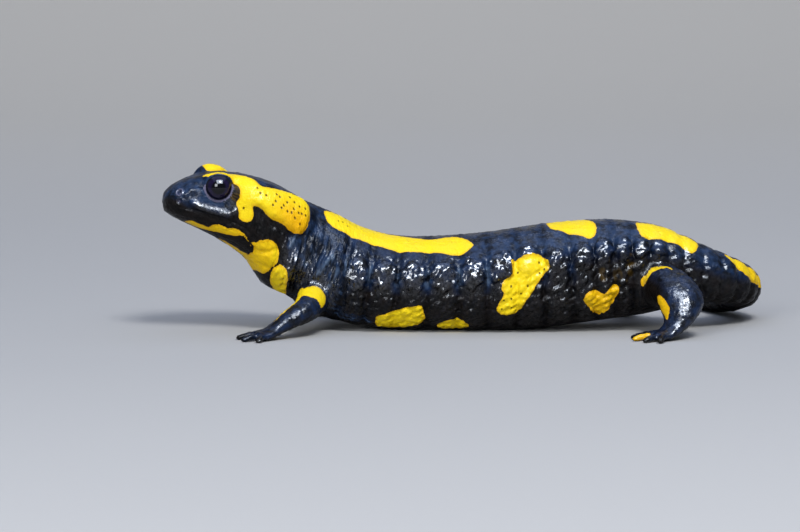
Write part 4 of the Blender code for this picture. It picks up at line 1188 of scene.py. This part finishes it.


# Living amphibian skin, bare and wet: black pigment or yellow pigment under one clear film of slime. The
# black's colour also holds painted reflections of the sky and painted shade.
# The film gives small sharp glints and mirrors the sky, and the grained skin below it has a dull sheen
def wetSkin():
    look = {
        # The navy blue and the pale blue are painted reflections of the sky on the black skin. The deep blue
        # is also painted shade in the neck's furrows. The lid ring's grey is also a painted highlight on the
        # nostril rims and a painted reflection in their pits
        "skyBlue": "#10233f", "blueDeep": "#070c16", "brownBlack": "#070606", "brownBlackLight": "#120e0d",
        "yellow": "#dfc117", "golden": "#d29d09", "yellowEdge": "#c48a05", "pore": "#3a1d02",
        "brown": "#40300c", "lidRing": "#565468", "paleBlue": "#4a5b70",
        "ior": 1.4, "roughness": 0.42, "sheen": 0.08,  # of the bare skin
        "filmIor": 1.7, "filmRoughness": 0.18,
    }
    # Sizes and heights in mm. Grain, film and ragged edges are drawn about twice as coarse, to show
    size = {
        "ragged": 0.9, "edge": 0.05, "mottle": 1.6, "shadedFurrow": (0.75, 2.6, 2.6), "cobble": 1.0, "grain": 0.5,
        "film": 0.4, "pore": (0.1, 0.22), "poreStretch": 1.3,
    }
    heights = {"crease": 0.6, "cobble": -0.22, "pore": -0.12, "grain": 0.16, "filmGrain": 0.04}
    tone = {name: linear(value) for name, value in look.items() if isinstance(value, str)}
    material, tree, shader = newMaterial("wetSkin")
    straight, skinMap = (addNode(tree, "ShaderNodeAttribute", "Vector", attribute_name=name)
                         for name in ("straight", "skinMap"))
    yellow, brown, skyBlue, golden, lidEdgeAndSheen, creased, cobbled, slime, grainy = (
        addNode(tree, "ShaderNodeAttribute", "Fac", attribute_name=name)
        for name in ("yellow", "brown", "skyBlue", "golden", "lidEdgeAndSheen", "creased", "cobbled", "slime", "grainy"))

    # Where the yellow is: the outline's depth, made ragged by noise
    ragged = addNode(tree, "ShaderNodeTexNoise", "Fac", {
        "Vector": straight, "Scale": 1 / size["ragged"], "Detail": 2.0})
    ragged = addNode(tree, "ShaderNodeMapRange", 0, {
        "Value": ragged, "From Min": 0.3, "From Max": 0.7, "To Min": -0.08, "To Max": 0.08})
    edge = addNode(tree, "ShaderNodeMath", 0, {0: yellow, 1: ragged}, operation="ADD")
    isYellow = addNode(tree, "ShaderNodeMapRange", 0, {
        "Value": edge, "From Min": -size["edge"], "From Max": size["edge"]}, interpolation_type="SMOOTHSTEP")

    # Black skin: a painted reflection of the sky in blue on its upper sides, its own brown-black below, both
    # mottled
    mottle = addNode(tree, "ShaderNodeTexNoise", "Fac", {
        "Vector": straight, "Scale": 1 / size["mottle"], "Detail": 4.0})
    mottle = addNode(tree, "ShaderNodeMapRange", 0, {"Value": mottle, "From Min": 0.38, "From Max": 0.6})
    fromSkyBlue, fromBrown = (
        addNode(tree, "ShaderNodeMix", 2, {0: mottle, 6: tone[deep], 7: tone[light]}, data_type="RGBA")
        for deep, light in (("blueDeep", "skyBlue"), ("brownBlack", "brownBlackLight")))
    black = addNode(tree, "ShaderNodeMix", 2, {0: skyBlue, 6: fromBrown, 7: fromSkyBlue}, data_type="RGBA")

    # On it, in this order: a painted pale sheen in the hollows and along folds, painted shade in the furrows
    # of the neck, brown marks, and the rings of the lids, which are also a painted highlight on the nostril
    # rims and a painted reflection in their pits
    # Painted pale sheen: the share of blue above 1, mottled
    paintedSheen = addNode(tree, "ShaderNodeMapRange", 0, {"Value": skyBlue, "From Min": 0.9, "From Max": 1.9})
    paintedSheen = addNode(tree, "ShaderNodeMath", 0, {0: paintedSheen, 1: mottle}, operation="MULTIPLY")
    # Painted shade in the furrows of the neck, in the deep blue, following the pattern of the creases
    leaning = addNode(tree, "ShaderNodeMapping", "Vector", {
        "Vector": straight, "Rotation": (0, 0, 0.16), "Scale": [1 / length for length in size["shadedFurrow"]]})
    crease = addNode(tree, "ShaderNodeTexNoise", "Fac", {"Vector": leaning, "Scale": 1.0, "Detail": 2.0})
    shadedFurrow = addNode(tree, "ShaderNodeMapRange", 0, {
        "Value": crease, "From Min": 0.4, "From Max": 0.54, "To Min": 0.9, "To Max": 0.0})
    shadedFurrow = addNode(tree, "ShaderNodeMath", 0, {0: shadedFurrow, 1: creased}, operation="MULTIPLY")
    isBrown = addNode(tree, "ShaderNodeMapRange", 0, {
        "Value": brown, "From Min": -0.15, "From Max": 0.35}, interpolation_type="SMOOTHSTEP")
    isBrown = addNode(tree, "ShaderNodeMath", 0, {0: isBrown, 1: mottle}, operation="MULTIPLY")
    # The grey ring of the lids, also a painted highlight on the nostril rims and a painted reflection in
    # their pits
    ring = addNode(tree, "ShaderNodeMapRange", 0, {
        "Value": lidEdgeAndSheen, "From Min": 5.0, "From Max": 2.0}, interpolation_type="SMOOTHSTEP")
    for share, name in ((paintedSheen, "paleBlue"), (shadedFurrow, "blueDeep"), (isBrown, "brown"), (ring, "lidRing")):
        black = addNode(tree, "ShaderNodeMix", 2, {0: share, 6: black, 7: tone[name]}, data_type="RGBA")

    # The gland's pores and the other dark dots, each a little higher than wide
    squeezed = addNode(tree, "ShaderNodeMapping", "Vector", {
        "Vector": skinMap, "Scale": (1, 1 / size["poreStretch"], 1)})
    nearest = 9.0
    for place, degrees in poreMarks:
        spot = (place, math.radians(degrees) * bodyReach(place) / size["poreStretch"], 0)
        away = addNode(tree, "ShaderNodeVectorMath", "Value", {0: squeezed, 1: spot}, operation="DISTANCE")
        nearest = addNode(tree, "ShaderNodeMath", 0, {0: away, 1: nearest}, operation="MINIMUM")
    dot = addNode(tree, "ShaderNodeMapRange", 0, {
        "Value": nearest, "From Min": size["pore"][0], "From Max": size["pore"][1],
        "To Min": 0.9, "To Max": 0.0})

    # Yellow skin: lemon in most places, golden on the rear of the parotoid, the throat, the groin and towards
    # the tail's end, darker at its very edge
    rim = addNode(tree, "ShaderNodeMapRange", 0, {
        "Value": yellow, "From Min": 0.05, "From Max": 0.5, "To Min": 0.55, "To Max": 0.0})
    warm = tone["yellow"]
    for share, name in ((golden, "golden"), (rim, "yellowEdge")):
        warm = addNode(tree, "ShaderNodeMix", 2, {0: share, 6: warm, 7: tone[name]}, data_type="RGBA")
    colour = addNode(tree, "ShaderNodeMix", 2, {0: isYellow, 6: black, 7: warm}, data_type="RGBA")
    colour = addNode(tree, "ShaderNodeMix", 2, {0: dot, 6: colour, 7: tone["pore"]}, data_type="RGBA")

    # Relief too fine for the mesh, in mm: upright creases of the neck, cobbles of the flank, pores and
    # grain. The slime fills the finest of it, so the film's own relief is softer than the skin's
    cobble = addNode(tree, "ShaderNodeTexVoronoi", "Distance", {
        "Vector": straight, "Scale": 1 / size["cobble"], "Smoothness": 0.5}, feature="SMOOTH_F1")
    grain = addNode(tree, "ShaderNodeTexNoise", "Fac", {
        "Vector": straight, "Scale": 1 / size["grain"], "Detail": 3.0})
    crease, cobble, filmGrain = (
        addNode(tree, "ShaderNodeMath", 0, {0: pattern, 1: share}, operation="MULTIPLY")
        for pattern, share in ((crease, creased), (cobble, cobbled), (grain, grainy)))
    raised = 0.0
    for pattern, name in ((crease, "crease"), (cobble, "cobble"), (dot, "pore")):
        raised = addNode(tree, "ShaderNodeMath", 0, {
            0: pattern, 1: heights[name], 2: raised}, operation="MULTIPLY_ADD")
    skinNormal, filmNormal = (
        addNode(tree, "ShaderNodeBump", "Normal", {"Strength": 1.0, "Distance": mm, "Height": addNode(
            tree, "ShaderNodeMath", 0, {0: pattern, 1: heights[name], 2: raised}, operation="MULTIPLY_ADD")})
        for pattern, name in ((grain, "grain"), (filmGrain, "filmGrain")))

    # The film is patchy at about the size of the grain
    patchy = addNode(tree, "ShaderNodeTexNoise", "Fac", {
        "Vector": straight, "Scale": 1 / size["film"], "Detail": 1.0})
    patchy = addNode(tree, "ShaderNodeMapRange", 0, {
        "Value": patchy, "From Min": 0.35, "From Max": 0.65, "To Min": 0.45, "To Max": 1.35})
    film = addNode(tree, "ShaderNodeMath", 0, {0: slime, 1: patchy}, operation="MULTIPLY")
    for name, value in (("Roughness", look["roughness"]), ("IOR", look["ior"]),
                        ("Specular IOR Level", look["sheen"]), ("Coat Roughness", look["filmRoughness"]),
                        ("Coat IOR", look["filmIor"])):
        shader.inputs[name].default_value = value
    for name, value in (("Base Color", colour), ("Normal", skinNormal), ("Coat Normal", filmNormal),
                        ("Coat Weight", film)):
        tree.links.new(value, shader.inputs[name])
    return material


# A living eye: a clear wet cornea over a near-black iris, so almost all that shows is what it mirrors. The
# iris is tinted purple, a painted reflection
def wetEye():
    look = {
        # The iris's purple tint is a painted reflection
        "pupil": "#020204", "irisAndSheen": "#1c1236", "outer": "#050507", "rim": "#5a2c0c",
        "roughness": 0.04, "ior": 1.4, "streaks": 7.0,  # streaks for each radius of the eye
        # Where iris, outer ring and rim begin, in degrees from the eye's axis
        "edges": ((26.0, 34.0), (48.0, 58.0), (64.0, 72.0)),
    }
    material, tree, shader = newMaterial("wetEye")
    angle = addNode(tree, "ShaderNodeAttribute", "Fac", attribute_name="eyeAngle")
    turn = addNode(tree, "ShaderNodeAttribute", "Vector", attribute_name="eyeTurn")
    streaks = addNode(tree, "ShaderNodeTexNoise", "Fac", {
        "Vector": turn, "Scale": look["streaks"], "Detail": 4.0})
    isIris, isOuter, isRim = (
        addNode(tree, "ShaderNodeMapRange", 0, {"Value": angle, "From Min": low, "From Max": high})
        for low, high in look["edges"])
    isRim = addNode(tree, "ShaderNodeMath", 0, {0: isRim, 1: streaks}, operation="MULTIPLY")
    colour = linear(look["pupil"])
    irisAndSheen = addNode(tree, "ShaderNodeMix", 2, {
        0: streaks, 6: colour, 7: linear(look["irisAndSheen"])}, data_type="RGBA")
    for share, tone in ((isIris, irisAndSheen), (isOuter, linear(look["outer"])), (isRim, linear(look["rim"]))):
        colour = addNode(tree, "ShaderNodeMix", 2, {0: share, 6: colour, 7: tone}, data_type="RGBA")
    shader.inputs["Roughness"].default_value = look["roughness"]
    shader.inputs["IOR"].default_value = look["ior"]
    tree.links.new(colour, shader.inputs["Base Color"])
    return material


mesh.materials.clear()
mesh.materials.append(wetSkin())
eyeMaterial = wetEye()
for eye in eyes:
    eye.data.materials.append(eyeMaterial)

fleshNodes = [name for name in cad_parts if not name.startswith("eye_")]
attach(skin, "root")
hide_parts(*fleshNodes)
for eye, node in zip(eyes, ("eye_left", "eye_right")):
    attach(eye, "root")
    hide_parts(node)
print("materials on")

# A pale floor, a hair below the soles, with a rounded step up to a pale wall far behind. Sizes in m
studio = {
    "floor": "#989692", "halfWidth": 1.6, "front": -0.9, "back": 1.5, "sweep": 0.9, "height": 1.3,
    "hair": 0.00002, "world": "#cfdcf2", "worldStrength": 0.25,
}


# A floor that turns up into a wall along a quarter circle, as a profile carried sideways. Painted card,
# flat and without gloss
def studioFloor():
    bend = np.linspace(0, math.pi / 2, 24)
    turned = studio["back"] - studio["sweep"] + studio["sweep"] * np.sin(bend)
    y = np.concatenate([[studio["front"]], turned, [studio["back"]]])
    z = np.concatenate([[0], studio["sweep"] * (1 - np.cos(bend)), [studio["height"]]])
    x = np.linspace(-studio["halfWidth"], studio["halfWidth"], 2)
    place = np.stack([np.repeat(x, len(y)), np.tile(y, 2), np.tile(z, 2)], axis=1)
    index = np.arange(2 * len(y)).reshape(2, len(y))
    quads = np.stack([index[0, :-1], index[1, :-1], index[1, 1:], index[0, 1:]], axis=-1)
    ground = bpy.data.meshes.new("studioFloor")
    ground.from_pydata((place - (0, 0, studio["hair"])).tolist(), [], quads.tolist())
    ground.shade_smooth()
    floor = bpy.data.objects.new("studioFloor", ground)
    bpy.context.scene.collection.objects.link(floor)
    material, tree, shader = newMaterial("paleCard")
    shader.inputs["Base Color"].default_value = linear(studio["floor"])
    shader.inputs["Roughness"].default_value = 0.9
    ground.materials.append(material)


studioFloor()


# A soft box: a rectangular light that faces a point. One that is only mirrored shows in the wet film
# and the eyes, and lights nothing
def softBox(name, place, target, size, power, colour="#ffffff", onlyMirrored=False):
    data = bpy.data.lights.new(name, "AREA")
    data.shape = "RECTANGLE"
    data.size, data.size_y = size
    data.energy = power
    data.color = linear(colour)[:3]
    light = bpy.data.objects.new(name, data)
    light.location = place
    away = mathutils.Vector(place) - mathutils.Vector(target)
    light.rotation_euler = away.to_track_quat("Z", "Y").to_euler()
    light.visible_diffuse = not onlyMirrored
    bpy.context.scene.collection.objects.link(light)


aim = (0.0, -0.02, 0.012)
softBox("sky", (0.0, -0.05, 0.8), aim, (1.3, 1.2), 4.9, "#bcd0ff")
softBox("key", (0.15, -0.5, 0.62), aim, (0.2, 0.2), 5.6, "#f8faff")
softBox("front", (-0.3, -0.75, 0.3), aim, (0.3, 0.3), 4.4, "#f4f8ff")
softBox("gleam", (0.08, -0.5, 0.62), aim, (0.65, 0.45), 17.0, "#e4f0ff", onlyMirrored=True)
softBox("wall", (0.0, 0.45, 1.0), (0.0, 1.5, 0.45), (1.6, 0.3), 14.0)

world = bpy.data.worlds.new("studio")
world.use_nodes = True
world.node_tree.nodes["Background"].inputs["Color"].default_value = linear(studio["world"])
world.node_tree.nodes["Background"].inputs["Strength"].default_value = studio["worldStrength"]
bpy.context.scene.world = world
bpy.context.scene.view_settings.view_transform = "Standard"

# The camera stands 650 mm off the animal's left side, a little above it, with a long lens
view = {"target": (0, 0, 11.8), "distance": 650, "elevation": 6, "lens": 154, "sensor": 36}
lift = math.radians(view["elevation"])
target = (np.array(view["target"]) + worldShift * (1, 1, 0)) * mm
offset = np.array([0, -math.cos(lift), math.sin(lift)]) * view["distance"] * mm
cameraData = bpy.data.cameras.new("camera")
cameraData.lens, cameraData.sensor_width = view["lens"], view["sensor"]
camera = bpy.data.objects.new("camera", cameraData)
camera.location = target + offset
camera.rotation_euler = (math.pi / 2 - lift, 0, 0)
bpy.context.scene.collection.objects.link(camera)
bpy.context.scene.camera = camera
print("lights and camera placed")
